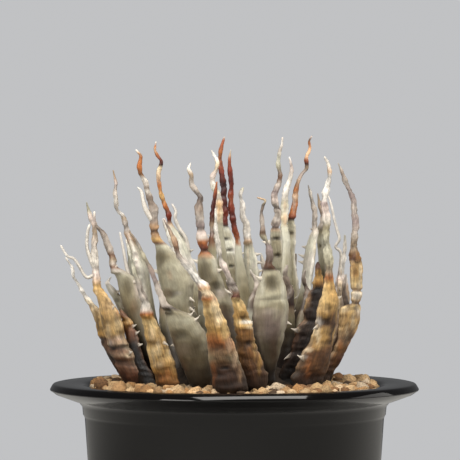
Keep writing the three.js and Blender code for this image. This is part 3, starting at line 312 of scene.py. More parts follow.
            (30.4, 28.8, 1.6, 4, "soot", 0.6), (34.1, 33.7, 1.2, 4, "soot", 0.5),
            (30.4, 34.5, 0.7, 3, "tan", 0.6), (33.3, 36.9, 2, 0.9, "black", 0.8),
            (26.3, 15.3, 0.5, 3, "slate", 0.4)],
    },
    {
        "name": "straw_leaf_right", "kind": "straw", "face": 62,
        "depth": (7, 9, 7),
        "blade": [(31.4, 38, -1), (33, 39.8, 2.7), (37, 43, 7.2), (40.8, 46.6, 14.5),
            (42.3, 48.6, 18.2), (43, 51.6, 24.7), (43.6, 52.2, 30.6), (47, 51.9, 32.4),
            (47.8, 52.4, 36.8), (47.4, 52.7, 43), (47.3, 52.3, 48.4)],
        "spine": [(49.1, 50.8, 4.2), (48.7, 56.1, 3.4), (49.1, 60.6, 2.9), (49.6, 64.4, 2.7),
            (48.9, 69.5, 2.5), (48.5, 74.4, 2.3), (46.7, 78.9, 2), (45, 82.6, 1.8),
            (43.6, 86.5, 1.3), (42.3, 89.4, 0.8)],
        "thorns": [(1, 61.6, 1.6, 0.4)],
        "tints": [(89.5, "ivory"), (85.8, "taupe"), (81.8, "grey"), (76.1, "mauve"),
            (71.2, "grey"), (65.5, "mauve"), (60.6, "stone"), (56.9, "fawn"), (54.5, "fawn"),
            (52, "bark"), (50, "umber"), (48.3, "wheat"), (44.3, "honey"), (40.2, "straw"),
            (37.7, "bark"), (36.5, "cream"), (33.7, "sand"), (32.4, "umber"), (30.8, "straw"),
            (28, "wheat"), (23.1, "wheat"), (18.2, "tan"), (14.1, "amber"), (10, "chestnut"),
            (5.1, "umber"), (-1, "soot")],
        "grooves": [(37.5, 0.6, 1.1), (32.4, 0.9, 1.3)],
        "pits": [(48.7, 45.1, 1.4, 1.8, 0.6), (43.8, 33.7, 1.6, 1.2, 0.6)],
        "patches": [(51.6, 44.3, 0.7, 4, "cream", 0.75), (49.1, 44.7, 0.9, 1.4, "amber", 0.6),
            (48.3, 47.5, 1, 1, "bark", 0.5), (50.8, 39.4, 1, 1.4, "cream", 0.6),
            (50, 35.3, 1.8, 1.6, "white", 0.55), (46.3, 33.3, 0.8, 4, "umber", 0.75),
            (50.4, 28.8, 0.6, 2.5, "white", 0.65), (48.3, 24.7, 0.7, 3, "cream", 0.7),
            (45.9, 20.6, 0.6, 3, "cream", 0.6), (50.8, 24.7, 0.8, 3, "honey", 0.5),
            (47.9, 18.6, 0.9, 3.4, "umber", 0.75), (45.5, 13.3, 0.8, 3.4, "umber", 0.7),
            (43, 15.3, 0.8, 2.5, "copper", 0.45), (45.1, 29.6, 1.2, 1, "cream", 0.5),
            (43.8, 24.7, 0.8, 3, "amber", 0.4), (41, 8.4, 0.8, 4, "amber", 0.4),
            (51.2, 55.3, 0.6, 3, "peach", 0.6), (50.4, 51.6, 1, 2, "amber", 0.6),
            (48.7, 51.2, 0.7, 1.4, "ring", 0.6), (45.5, 26.3, 0.5, 4, "bark", 0.5),
            (50, 27.6, 0.5, 4, "umber", 0.5), (46.7, 21.4, 0.5, 4, "bark", 0.6),
            (49.1, 49.2, 1.6, 0.6, "umber", 0.5)],
    },
    {
        "name": "brown_leaf_left", "kind": "brown", "face": -42,
        "depth": (17, 13, 12),
        "blade": [(-38.6, -31, -2), (-40.4, -33.2, 2.7), (-42.6, -36.6, 9.2), (-44, -38.6, 15.3),
            (-45.4, -40.1, 21.4), (-46.2, -42.2, 25.5)],
        "spine": [(-45.6, 27.4, 2.4), (-46.6, 30, 1)],
        "thorns": [(1, 20.5, 1.8, 1.3), (1, 16, 2, 0.6), (1, 23.4, 1.6, 1)],
        "tints": [(30, "cocoa"), (27.1, "cocoa"), (25.1, "wheat"), (23.5, "amber"),
            (21, "chestnut"), (17.8, "umber"), (15.7, "black"), (-2.2, "black")],
        "patches": [(-44.6, 24.3, 1.2, 1.2, "sand", 0.6), (-42.2, 21, 1, 2.4, "cocoa", 0.5),
            (-39.7, 18.2, 0.6, 2.4, "slate", 0.4)],
    },
    {
        "name": "green_leaf_left_centre", "kind": "green", "face": -33,
        "depth": (20, 26, 26),
        "blade": [(-19, -11, -1), (-21.6, -12.6, 8), (-26, -16, 20), (-28.4, -17.7, 31.6),
            (-30.2, -17.3, 37.7), (-31.5, -17.7, 42.6), (-32.3, -22.2, 50), (-32.4, -27.1, 55.7)],
        "spine": [(-32.2, 58.7, 3.7), (-32.8, 63.8, 3.2), (-33, 70.8, 3.1), (-34.4, 74.4, 2.8),
            (-35.6, 78.1, 2.5), (-36.4, 81.8, 2.3), (-38.2, 84.9, 1.9), (-38.8, 88.4, 1.7),
            (-38.2, 92.2, 1.4), (-40.1, 94.8, 0.8)],
        "thorns": [(-1, 45.5, 2.6, 1), (-1, 41.5, 2, -1), (1, 35, 1.8, -1.2), (1, 31, 2, -1.4)],
        "threads": [
            [(-33.6, 66.2, 2.2), (-36.2, 70.8, 2), (-37.3, 74.6, 1.6), (-38, 78, 1.2),
                (-39.6, 79.7, 0.9)],
        ],
        "tints": [(94.8, "white"), (93.6, "tan"), (92, "rust"), (87.5, "rust"), (84.6, "bark"),
            (83.4, "ivory"), (80.5, "stone"), (79.3, "taupe"), (78.1, "ivory"), (76.1, "taupe"),
            (72.8, "taupe"), (68.7, "grey"), (65.5, "taupe"), (63.4, "tan"), (61.8, "coffee"),
            (60.2, "tan"), (58.1, "wheat"), (56.9, "cocoa"), (55.7, "sage"), (51.6, "moss"),
            (48.3, "leaf"), (33.7, "leaf"), (29.6, "moss"), (23.5, "olive"), (15.3, "deep"),
            (7.2, "soot"), (-2.2, "black")],
        "grooves": [(61.8, 0.7, 0.35)],
        "pits": [(-29.5, 50.8, 2, 2.4, 0.5), (-25.4, 35.7, 2, 1.6, 0.7)],
        "patches": [(-30.3, 50.8, 1.6, 3.2, "olive", 0.7), (-24.2, 46.7, 2.6, 3.6, "sage", 0.45),
            (-19.7, 41.8, 1.2, 4, "leaf", 0.5), (-27.1, 36.5, 1.8, 1.8, "bark", 0.5),
            (-23, 36.5, 1.6, 0.7, "ivory", 0.5), (-21.4, 34.1, 0.8, 3, "sage", 0.4),
            (-26.3, 43.5, 0.6, 3, "tan", 0.4), (-29.1, 43.9, 1, 3, "moss", 0.4),
            (-18.1, 49.2, 0.7, 4, "moss", 0.35)],
    },
    {
        "name": "green_leaf_centre_left", "kind": "green", "face": -18,
        "depth": (26, 28, 26),
        "blade": [(-5.2, 2.2, 1), (-6.8, 2, 12), (-9.6, 0.7, 23.5), (-11.6, -1.4, 34.5),
            (-13, -4.2, 39.4), (-14.2, -5.5, 43), (-15.3, -7.3, 48.3), (-15, -8.7, 51.4)],
        "spine": [(-12.4, 54, 4.2), (-13.2, 58.7, 3.7), (-13.7, 62.4, 3.6), (-14.2, 66.5, 3.3),
            (-14.6, 71.8, 2.9), (-14, 75.4, 2.7), (-15.8, 78.1, 2.3), (-17.6, 81.2, 2),
            (-17.6, 84.4, 1.7), (-18.7, 87.3, 1.2), (-17.9, 89.4, 0.8)],
        "thorns": [(1, 46, 2, 1), (-1, 49.5, 2, 1.2), (1, 38, 1.8, -1)],
        "tints": [(89.5, "white"), (87.5, "white"), (85, "fawn"), (81.8, "grey"), (78.5, "stone"),
            (75.7, "slate"), (71.2, "taupe"), (67.1, "grey"), (63.8, "mauve"), (62.8, "smoke"),
            (61.4, "pinkish"), (58.9, "stone"), (57.3, "rust"), (55.7, "brick"), (54, "ring"),
            (52.8, "rust"), (51.6, "tan"), (50, "leaf"), (46.7, "moss"), (39.8, "olive"),
            (36.1, "olive"), (33.3, "leaf"), (31.2, "olive"), (25.5, "smoke"), (17.4, "deep"),
            (7.2, "soot"), (-2.2, "black")],
        "grooves": [(62.8, 0.5, 0.25), (54, 0.9, 0.4)],
        "pits": [(-12.4, 45.1, 2.6, 4.4, 0.6), (-7.5, 39, 2.4, 1.8, 0.6)],
        "patches": [(-12.4, 45.1, 1.8, 5, "olive", 0.7), (-7.9, 49.2, 1.2, 4.4, "mist", 0.5),
            (-5.5, 43.5, 1.2, 5, "sage", 0.5), (-7.1, 39.4, 1.8, 1.8, "deep", 0.5),
            (-5.5, 36.1, 1.6, 1.6, "stone", 0.6), (-11.6, 37.7, 1.6, 4, "moss", 0.4),
            (-5.1, 30, 1.6, 3, "umber", 0.4), (-3.4, 26.3, 0.8, 6, "soot", 0.4)],
    },
    {
        "name": "green_leaf_left", "kind": "green", "face": -48,
        "depth": (11, 9, 7),
        "blade": [(-34, -26.6, 0), (-38.5, -30.5, 9), (-43, -35, 22), (-46.6, -38.1, 33.7),
            (-48.7, -41.3, 43)],
        "spine": [(-49.2, 46.4, 3.6), (-49.7, 50, 3.2), (-50.7, 53.4, 3), (-52.3, 57.7, 2.8),
            (-53.6, 60.8, 2.3), (-56.4, 63.8, 2), (-58.5, 66.7, 2), (-59.3, 69.5, 1.6),
            (-60.3, 73.4, 0.9)],
        "thorns": [(1, 45, 2.6, 1.6), (1, 41, 2, 1), (-1, 30, 1.6, 1)],
        "threads": [
            [(-42.8, 42.4, 1.6), (-44.2, 48.4, 1.4), (-45.2, 54, 1.2), (-46.7, 61.4, 0.8)],
        ],
        "tints": [(73.6, "sage"), (70.4, "leaf"), (67.5, "pinkish"), (65.5, "stone"),
            (62.2, "taupe"), (58.1, "stone"), (54, "stone"), (52, "cocoa"), (50.4, "fawn"),
            (48.3, "stone"), (47.1, "cocoa"), (45.9, "grey"), (43.5, "leaf"), (39.4, "moss"),
            (33.7, "moss"), (28.8, "olive"), (24.7, "olive"), (18.2, "deep"), (9.2, "black"),
            (-2.2, "black")],
        "grooves": [(46.7, 0.7, 0.3)],
        "pits": [(-43.4, 38.6, 1.8, 3.5, 0.5)],
        "patches": [(-46.2, 40.6, 0.9, 4, "sage", 0.4), (-43.4, 38.6, 1.4, 5, "olive", 0.5),
            (-39.7, 38.6, 1, 4, "pinkish", 0.5), (-37.3, 33.7, 1, 4, "stone", 0.5),
            (-40.9, 31.2, 1.4, 3, "bark", 0.4)],
    },
    {
        "name": "green_leaf_left_toothed", "kind": "green", "face": -50,
        "depth": (3, 2, 2),
        "blade": [(-38, -31.6, 0), (-42.5, -36, 14), (-46, -41.4, 26), (-49.7, -45.4, 33.7),
            (-52.4, -49.2, 38.8)],
        "spine": [(-51.8, 40.6, 1.6), (-50.4, 43, 0.8)],
        "thorns": [(1, 36.6, 2.6, 1.8), (1, 31, 2.2, 1.5), (1, 26.5, 2, 1)],
        "tints": [(43, "white"), (40.2, "ivory"), (36.9, "sage"), (32, "sage"), (27.1, "leaf"),
            (24.7, "dun"), (22.3, "cocoa"), (15.3, "umber"), (5.1, "black"), (-2.2, "black")],
        "patches": [(-49.9, 37.3, 0.9, 1.4, "white", 0.5), (-47.9, 33.7, 1.2, 0.8, "soot", 0.5),
            (-45.8, 34.9, 0.7, 3, "white", 0.5), (-46.6, 29.6, 1, 2, "sage", 0.4)],
    },
    {
        "name": "straw_leaf_far_left", "kind": "straw", "face": -70,
        "depth": (-7, -6, -4),
        "blade": [(-42, -34, -1), (-47, -40, 2.4), (-51.5, -44.6, 9.2), (-54.8, -47.8, 15.3),
            (-56.4, -49.9, 19.8), (-58, -52.3, 26.3), (-59.7, -56, 31)],
        "spine": [(-59.8, 33.6, 2.3), (-62.1, 37.3, 1.9), (-63.7, 40.2, 1.6), (-65.6, 43.2, 1.4),
            (-66.1, 46.7, 1.2), (-68.7, 50.8, 0.8)],
        "thorns": [(-1, 16, 2, -0.6)],
        "tints": [(50.8, "ivory"), (47.5, "white"), (35.3, "white"), (32.4, "cream"),
            (28.8, "sand"), (24.7, "wheat"), (19.8, "honey"), (17.8, "umber"), (14.5, "cocoa"),
            (10.8, "smoke"), (7.6, "umber"), (-1, "soot")],
        "grooves": [(17.4, 0.8, 0.8)],
        "pits": [(-56, 24.7, 0.8, 4.5, 0.6)],
        "patches": [(-57.6, 27.6, 0.5, 4, "cream", 0.5), (-56, 23.1, 0.5, 4, "umber", 0.5),
            (-58.9, 28.8, 0.4, 3, "rust", 0.4), (-54.4, 16.1, 1, 1.4, "soot", 0.6)],
    },
    {
        "name": "straw_leaf_right_spiny", "kind": "straw", "face": 66,
        "depth": (-5, -8, -8),
        "blade": [(31, 37.6, -1), (36, 42, 8), (40.6, 46.2, 20), (42.4, 47.3, 32),
            (42, 46.8, 39.8)],
        "spine": [(43.8, 44.6, 2.6), (44.5, 50, 2), (45, 54.9, 1.9), (45, 60, 1.5)],
        "thorns": [(1, 40, 2.6, 1.2), (1, 36, 2, -0.8), (-1, 38, 1.6, 1)],
        "threads": [
            [(43.4, 43.6, 1.6), (43.5, 49.2, 1.4), (43.2, 53.4, 1.3), (41.2, 55.4, 1.2),
                (42.8, 58.4, 1.2), (41.9, 62, 1.2), (40.7, 66.5, 1.1), (39.4, 72.5, 1),
                (38.2, 76.4, 0.8)],
        ],
        "tints": [(60.2, "mist"), (57.3, "ivory"), (53.2, "ivory"), (49.2, "white"),
            (45.9, "white"), (42.2, "pinkish"), (39.4, "dun"), (36.1, "fawn"), (31.2, "fawn"),
            (25.5, "cocoa"), (13.3, "umber"), (-2.2, "black")],
        "pits": [(43.8, 37.7, 1.2, 0.8, 0.6)],
        "patches": [(45.5, 41.8, 0.8, 1.8, "white", 0.7), (43.4, 39.8, 0.8, 2, "cream", 0.6),
            (44.7, 36.9, 0.6, 1.4, "slate", 0.6), (41.8, 42.2, 0.6, 2, "maroon", 0.5),
            (44.3, 33.7, 0.7, 2.4, "pinkish", 0.4)],
    },
    {
        "name": "pale_leaf_left", "kind": "pale", "face": -95,
        "depth": (-10, -13, -13),
        "blade": [(-30, -24, 0), (-34.6, -28, 12), (-38.6, -31.6, 26), (-41, -34.2, 39.8),
            (-43.2, -35.2, 47.5), (-43.6, -37.3, 52), (-44, -40.6, 58.1)],
        "spine": [(-43.8, 61.6, 2.8), (-44.4, 64.8, 2.4), (-45.6, 68, 2), (-47.9, 70.6, 1.9),
            (-48.3, 74.6, 2), (-48.7, 78, 1.8), (-48.3, 81, 1.5), (-49.4, 86.4, 0.8)],
        "thorns": [(1, 50, 2, 1.4), (1, 46, 1.8, 1), (1, 34, 2.2, 1)],
        "tints": [(86.3, "fawn"), (83.8, "dun"), (81.4, "pinkish"), (78.5, "stone"),
            (74.4, "ivory"), (70.8, "grey"), (69.1, "white"), (67.1, "fawn"), (65.5, "grey"),
            (62.2, "grey"), (58.9, "tan"), (56.9, "fawn"), (54, "sage"), (50, "sage"),
            (45.9, "mist"), (39.8, "sage"), (33.7, "leaf"), (25.5, "olive"), (15.3, "deep"),
            (-2.2, "black")],
        "pits": [(-40.1, 52.4, 0.9, 0.7, 0.5), (-40.9, 39.8, 1.2, 3, 0.4)],
        "patches": [(-42.2, 53.2, 0.5, 5, "moss", 0.45), (-39.7, 49.2, 0.6, 5, "pinkish", 0.5),
            (-40.9, 52, 0.8, 0.8, "slate", 0.5), (-38.5, 45.9, 0.7, 4, "mist", 0.5)],
    },
    {
        "name": "pale_leaf_back_left", "kind": "pale", "face": -148,
        "depth": (-22, -31, -33),
        "blade": [(-18, -8, 2), (-19, -9, 14), (-20, -10.4, 28), (-21.6, -12.6, 38),
            (-23.2, -15.7, 46.7), (-24.8, -17.3, 50.8), (-26.6, -19.2, 56.1), (-28.3, -22.4, 61)],
        "spine": [(-26.5, 64.4, 2.7), (-26.9, 68.4, 2.4), (-29.3, 74.8, 2.2), (-30.6, 80, 1.9),
            (-31, 85.6, 1.8), (-29.8, 90, 1.6), (-31.4, 92.4, 1.3), (-32.4, 95, 1.2),
            (-32, 98, 0.8)],
        "thorns": [(1, 53, 2.2, 1), (-1, 44, 2, 1), (1, 42, 2, 1)],
        "threads": [
            [(-18.6, 53.4, 1.9), (-20, 59.1, 1.7), (-22.4, 62.8, 1.6), (-24.2, 67, 1.5),
                (-23.9, 69.8, 1.3), (-25.5, 73, 0.8)],
            [(-26.6, 60.2, 1.6), (-28.2, 63.6, 1.3), (-29.2, 66.9, 0.9)],
        ],
        "tints": [(98.1, "white"), (96.4, "copper"), (94.8, "peach"), (93.2, "rust"),
            (90.7, "maroon"), (88.7, "ring"), (87.5, "cream"), (83.4, "dun"), (80.1, "copper"),
            (76.1, "wheat"), (72.4, "copper"), (69.1, "maroon"), (66.3, "maroon"), (64.6, "dun"),
            (62.6, "mist"), (53.2, "mist"), (49.2, "white"), (43.9, "sage"), (33.7, "moss"),
            (17.4, "deep")],
        "pits": [(-25.9, 55.3, 1, 0.7, 0.4)],
        "patches": [(-27.1, 58.9, 0.6, 3, "white", 0.6), (-24.6, 54, 0.5, 5, "white", 0.6),
            (-25.4, 56.9, 1, 2, "slate", 0.3), (-22.2, 55.7, 0.6, 5, "white", 0.45),
            (-23.4, 49.2, 0.5, 5, "olive", 0.35), (-18.9, 50.8, 0.8, 2, "deep", 0.3)],
    },
    {
        "name": "pale_leaf_back_centre", "kind": "pale", "face": 175,
        "depth": (-19, -28, -30),
        "blade": [(-4, 5, 4), (-4, 6.4, 18), (-3.4, 7.6, 30), (-2.8, 7, 38), (-2.6, 6, 44.3),
            (-5.1, 3.7, 50), (-5.9, 1.7, 55.7), (-6.3, -1.6, 62)],
        "spine": [(-4.3, 65, 3.9), (-4.3, 69.4, 3.6), (-4.6, 74.4, 3.3), (-4.3, 78.6, 3),
            (-4.8, 83, 2.5), (-5.6, 88.2, 2.1), (-5.8, 92.6, 1.7), (-5.2, 96.2, 1.3),
            (-4.1, 100, 0.8)],
        "thorns": [(1, 52, 1.8, 1), (-1, 47, 1.8, 1), (1, 41, 2, 1.2)],
        "tints": [(100.1, "grey"), (98.9, "brick"), (96.4, "brick"), (93.2, "rust"),
            (89.1, "brick"), (85.8, "maroon"), (81, "ring"), (76.1, "oxblood"), (72, "oxblood"),
            (68.3, "maroon"), (65.5, "maroon"), (64, "ring"), (62.6, "mist"), (59.8, "sage"),
            (56.9, "mist"), (53.2, "mist"), (50, "leaf"), (45.1, "moss"), (37.7, "moss"),
            (29.6, "olive"), (17.4, "deep")],
        "grooves": [(63.8, 0.5, 0.35)],
        "pits": [(-3.8, 58.5, 2.2, 0.6, 0.8), (-2.2, 54, 2, 0.6, 0.8),
            (-1.8, 47.5, 1.6, 0.6, 0.8)],
        "patches": [(-4, 58.5, 2.2, 0.5, "deep", 0.85), (-2.2, 54, 2, 0.5, "deep", 0.85),
            (-1.8, 47.5, 1.4, 0.6, "deep", 0.8), (-3.8, 60.6, 2, 1, "moss", 0.5),
            (-1.8, 50.8, 2.4, 1.6, "moss", 0.55), (-0.2, 56.5, 0.5, 5, "white", 0.5),
            (2.3, 50.8, 0.6, 6, "mist", 0.6), (0.6, 43.9, 2, 2.4, "olive", 0.4)],
    },
    {
        "name": "pale_leaf_back_right_centre", "kind": "pale", "face": 160,
        "depth": (-20, -30, -31),
        "blade": [(11, 19.4, 4), (12, 21, 18), (13.6, 22.4, 32), (15.4, 22, 41.8),
            (15.2, 20.6, 50), (14.8, 19.8, 56), (14.6, 19.2, 62)],
        "spine": [(16.9, 64.6, 3.6), (18, 68.6, 3.2), (16.7, 72.8, 3), (16.4, 76.6, 2.8),
            (18.2, 81.4, 2.2), (18.7, 85, 1.9), (18, 89, 1.8), (18.3, 93.4, 1.5), (19.4, 97, 1.2),
            (19.6, 99.8, 0.8)],
        "thorns": [(-1, 44, 2, 1), (1, 38, 2, 1.2)],
        "tints": [(99.7, "stone"), (98.1, "white"), (94.8, "stone"), (91.5, "mist"),
            (88.3, "sage"), (85.8, "taupe"), (83.4, "cocoa"), (81, "stone"), (77.7, "mauve"),
            (75.2, "pinkish"), (72.4, "stone"), (71.2, "smoke"), (69.9, "stone"), (65.9, "grey"),
            (64.2, "pinkish"), (63.2, "ring"), (62.2, "dun"), (61, "sage"), (58.1, "moss"),
            (55.3, "leaf"), (51.6, "moss"), (48.8, "sage"), (41.8, "leaf"), (33.7, "moss"),
            (17.4, "deep")],
        "grooves": [(71.2, 0.5, 0.4), (63.2, 0.5, 0.35)],
        "pits": [(17.2, 58.7, 2.1, 0.7, 0.9), (17.8, 51.8, 1.7, 0.7, 0.9),
            (17.8, 45.9, 1.8, 0.6, 0.6)],
        "patches": [(16.9, 58.7, 2.2, 0.6, "deep", 0.85), (17.4, 52, 1.6, 0.8, "deep", 0.8),
            (17.4, 55.3, 2, 1.8, "moss", 0.6), (17.4, 61, 2, 0.8, "moss", 0.4),
            (14.1, 56.1, 0.6, 4, "white", 0.5), (19.8, 58.1, 0.6, 5, "mist", 0.6),
            (20.2, 49.2, 0.6, 4, "mist", 0.6), (17.4, 48.3, 1.8, 1.4, "moss", 0.5)],
    },
    {
        "name": "pale_leaf_back_right", "kind": "pale", "face": 146,
        "depth": (-27, -36, -38),
        "blade": [(20, 27, 2), (20.4, 28, 16), (21, 27, 30), (21.2, 26.4, 40), (21, 25, 49.6),
            (20.6, 25.2, 58.5), (21.4, 25.4, 63)],
        "spine": [(23.2, 66, 3.2), (23.9, 69, 3), (24.8, 73, 2.6), (25, 77, 2.3), (25.6, 80.4, 2),
            (27.2, 84.6, 1.8), (29.4, 87.2, 1.7), (29.4, 91.6, 1.6), (30.8, 95.4, 1.4),
            (30.5, 98.4, 1.1), (31.5, 100.4, 0.8)],
        "thorns": [(1, 36, 2, 1), (-1, 30, 2, 1)],
        "tints": [(100.5, "pinkish"), (98.9, "cocoa"), (97.3, "copper"), (94.8, "peach"),
            (92.4, "peach"), (90.7, "brick"), (89.1, "ring"), (87.5, "fawn"), (85, "pinkish"),
            (82.2, "dun"), (78.9, "rust"), (75.7, "dun"), (72.8, "rust"), (69.9, "copper"),
            (67.9, "brick"), (66.7, "ring"), (65.5, "leaf"), (63.4, "sage"), (60.6, "moss"),
            (58.1, "sage"), (53.2, "leaf"), (48.3, "leaf"), (33.7, "moss")],
        "grooves": [(66.5, 0.5, 0.35)],
        "pits": [(23.1, 61, 1.3, 0.6, 0.8)],
        "patches": [(23.1, 61, 1.2, 0.6, "deep", 0.8), (22.7, 63.8, 1.4, 1, "leaf", 0.5),
            (21.4, 56.1, 0.5, 5, "mist", 0.6), (23.1, 49.2, 1.2, 4, "leaf", 0.4),
            (24.3, 72.8, 0.6, 3, "stone", 0.5)],
    },
    {
        "name": "pale_leaf_right_toothed", "kind": "pale", "face": 128,
        "depth": (-6, -10, -11),
        "blade": [(18.6, 24.6, 2), (21, 26.6, 12), (22.8, 28, 22), (24.6, 29.4, 30),
            (26.7, 31.2, 36.5), (27.7, 32, 42.6), (28.4, 33, 49.6), (29.8, 33.8, 57)],
        "spine": [(33, 61.6, 2.7), (32.7, 65.2, 2.4), (32.9, 69.4, 2.2), (31.8, 73.6, 2),
            (31, 77.4, 1.5), (30.1, 80.4, 0.8)],
        "thorns": [(-1, 58, 3.6, 1.4), (-1, 55, 3.6, 0.4), (-1, 51, 4.6, 1.2),
            (-1, 48.6, 4.2, 0.8), (-1, 35, 3.4, -1.2)],
        "tints": [(80.5, "grey"), (77.3, "ivory"), (73.6, "grey"), (69.5, "stone"), (65.5, "grey"),
            (62.2, "stone"), (58.1, "mist"), (54, "mist"), (49.2, "ivory"), (43.9, "mist"),
            (38.6, "mist"), (34.5, "moss"), (28.8, "smoke"), (21.4, "deep"), (13.3, "soot"),
            (-2.2, "black")],
        "pits": [(34.1, 56.1, 1.2, 0.7, 0.5)],
        "patches": [(31.2, 49.2, 1.2, 4, "white", 0.55), (29.2, 41.8, 1, 5, "white", 0.5),
            (32.8, 54, 0.6, 4, "cream", 0.4), (27.5, 49.2, 0.6, 3, "moss", 0.4),
            (28, 45.9, 0.6, 3, "moss", 0.3)],
    },
    {
        "name": "pale_leaf_right", "kind": "pale", "face": 118,
        "depth": (-16, -24, -25),
        "blade": [(26.4, 32.4, 1), (29.4, 35.4, 14), (31.8, 37.8, 28), (33.4, 39.2, 40),
            (34.6, 39.2, 48), (34.1, 38.4, 56), (33.7, 38.1, 62)],
        "spine": [(36.1, 65, 2.8), (36, 68.4, 2.2), (34.9, 72.4, 1.7), (34, 76.9, 0.9)],
        "thorns": [(1, 46, 2, 1), (-1, 43, 1.8, 1)],
        "tints": [(76.9, "fawn"), (73.6, "fawn"), (69.5, "taupe"), (66.3, "stone"), (63.4, "grey"),
            (61.8, "moss"), (58.1, "sage"), (55.3, "moss"), (53.6, "sage"), (49.2, "leaf"),
            (45.1, "olive"), (37.7, "olive"), (29.6, "deep"), (13.3, "soot")],
        "pits": [(34.1, 55.7, 1.3, 0.6, 0.6)],
        "patches": [(34.1, 55.7, 1.2, 0.6, "deep", 0.6), (36.1, 56.5, 0.7, 3, "mist", 0.6),
            (35.7, 62.6, 0.8, 1.2, "deep", 0.5), (37.3, 49.2, 0.5, 4, "white", 0.5),
            (38.6, 52, 0.5, 5, "mauve", 0.4)],
    },
    {
        "name": "pale_leaf_centre_right", "kind": "pale", "face": 168,
        "depth": (-6, -10, -11),
        "blade": [(5.6, 12.6, 6), (5.4, 13, 18), (5, 12.4, 30), (4.4, 10.6, 40), (3.5, 9.6, 47.9),
            (3.5, 8.4, 54)],
        "spine": [(5.5, 57.4, 3.4), (5.1, 61.4, 3), (4.7, 65.2, 2.5), (3.3, 68, 2.3),
            (3.4, 72, 2.1), (2.5, 76.6, 1.6), (3.5, 79.4, 0.9)],
        "thorns": [(1, 52, 2.4, 0.6), (1, 49, 2.2, -0.4), (1, 45, 2, 1), (-1, 44, 1.8, 1)],
        "tints": [(79.3, "sage"), (77.3, "white"), (68.7, "white"), (63.8, "ivory"),
            (59.8, "white"), (57.7, "dun"), (55.7, "sage"), (53.2, "mist"), (48.3, "mist"),
            (41.8, "sage"), (35.7, "leaf"), (25.5, "olive")],
        "pits": [(3.9, 49.2, 1, 5, 0.3)],
        "patches": [(4.7, 56.9, 1.2, 0.8, "tan", 0.5), (5.5, 50.8, 0.6, 4, "cream", 0.5),
            (3.5, 49.2, 0.8, 5, "mist", 0.5), (8, 47.5, 0.8, 1.6, "ivory", 0.6),
            (7.2, 43.9, 0.8, 0.6, "tan", 0.6), (4.3, 43.9, 1.4, 2.4, "leaf", 0.4)],
    },
    {
        "name": "young_leaf_right_centre", "kind": "young", "face": 70,
        "depth": (4, 0, 0),
        "blade": [(13.6, 19, 8), (15, 20.6, 20), (17.6, 22.4, 32), (19, 23.4, 44), (19.6, 23, 54),
            (19.4, 22.6, 60)],
        "spine": [(20.4, 64, 3.2), (20.6, 69, 3.1), (20.6, 73.6, 3.1), (21, 78, 2.9),
            (22.6, 82.6, 2.1), (23.4, 87.4, 1.7), (22.4, 91.8, 1)],
        "thorns": [(-1, 73.4, 2, 1.2)],
        "tints": [(92, "white"), (88.3, "pinkish"), (83.4, "ivory"), (79.3, "white"),
            (75.7, "ivory"), (73.2, "sage"), (70.4, "mist"), (67.1, "cream"), (63.8, "sage"),
            (58.1, "mist"), (50, "leaf"), (33.7, "moss")],
        "pits": [(21, 69.5, 0.8, 2.4, 0.3)],
        "patches": [(20.6, 72, 0.7, 2, "tan", 0.45), (21.8, 69.1, 0.5, 2.4, "white", 0.5),
            (20.6, 66.3, 0.7, 2, "peach", 0.5)],
    },
    {
        "name": "young_leaf_centre_left", "kind": "young", "face": -30,
        "depth": (9, 9, 9),
        "blade": [(-9.4, -3.4, 10), (-10.4, -4.4, 24), (-11.6, -6.6, 38), (-11.6, -7, 48),
            (-11, -7.4, 55)],
        "spine": [(-9.2, 59, 2.6), (-8.8, 64, 2.5), (-8.8, 71, 2.1), (-8, 76, 1.6),
            (-7.2, 81.7, 0.9)],
        "thorns": [(-1, 58, 2, 1.4)],
        "tints": [(81.8, "copper"), (78.5, "brick"), (74.4, "oxblood"), (69.5, "oxblood"),
            (65.9, "umber"), (63, "fawn"), (61, "chestnut"), (57.3, "cocoa"), (54, "moss"),
            (49.2, "leaf"), (37.7, "moss")],
        "patches": [(-9.1, 61.4, 0.7, 1.6, "pinkish", 0.5)],
    },
    {
        "name": "young_leaf_centre", "kind": "young", "face": 10,
        "depth": (2, 0, 0),
        "blade": [(-9, -0.6, 10), (-8.8, -0.4, 26), (-8, -1, 40), (-6.8, -3, 52), (-7, -4.2, 60)],
        "spine": [(-6.2, 66, 3), (-6.2, 71, 2.9), (-6.5, 75.4, 2.6), (-8.2, 79.6, 2.4),
            (-8.9, 83.4, 2.2), (-7.3, 87.3, 1.8), (-7, 90, 1.4), (-9.3, 94.6, 1)],
        "thorns": [(-1, 60, 1.8, 1.2)],
        "tints": [(94.8, "white"), (91.5, "white"), (88.7, "cream"), (85, "pinkish"),
            (81, "ivory"), (78.5, "mist"), (75.7, "ivory"), (72.4, "peach"), (69.5, "cream"),
            (64.2, "sage"), (58.1, "sage"), (41.8, "moss")],
        "patches": [(-7.3, 80.1, 0.5, 3, "brick", 0.5), (-6.3, 76.1, 0.6, 0.8, "slate", 0.5),
            (-6.3, 72.4, 0.7, 2, "wheat", 0.5), (-7.5, 68.7, 0.5, 3, "white", 0.5),
            (-6.3, 68.3, 0.5, 3, "rust", 0.4)],
    },
    {
        "name": "young_leaf_centre_right", "kind": "young", "face": 30,
        "depth": (0, -4, -4),
        "blade": [(0.4, 8, 10), (0.6, 8, 26), (0.6, 6, 40), (0.2, 3.8, 50), (0.4, 2.8, 56)],
        "spine": [(1.1, 59.8, 2.3), (0.1, 63, 2.4), (-0.9, 69.1, 2.4), (-1.4, 75.4, 2.2),
            (-1.2, 81, 2), (-1.7, 85.8, 1.8), (-2, 90, 1.4), (-1.5, 94.8, 0.8)],
        "tints": [(94.8, "ivory"), (92.8, "dun"), (91.1, "brick"), (87.1, "maroon"),
            (82.2, "oxblood"), (77.7, "maroon"), (74.4, "brick"), (72, "maroon"),
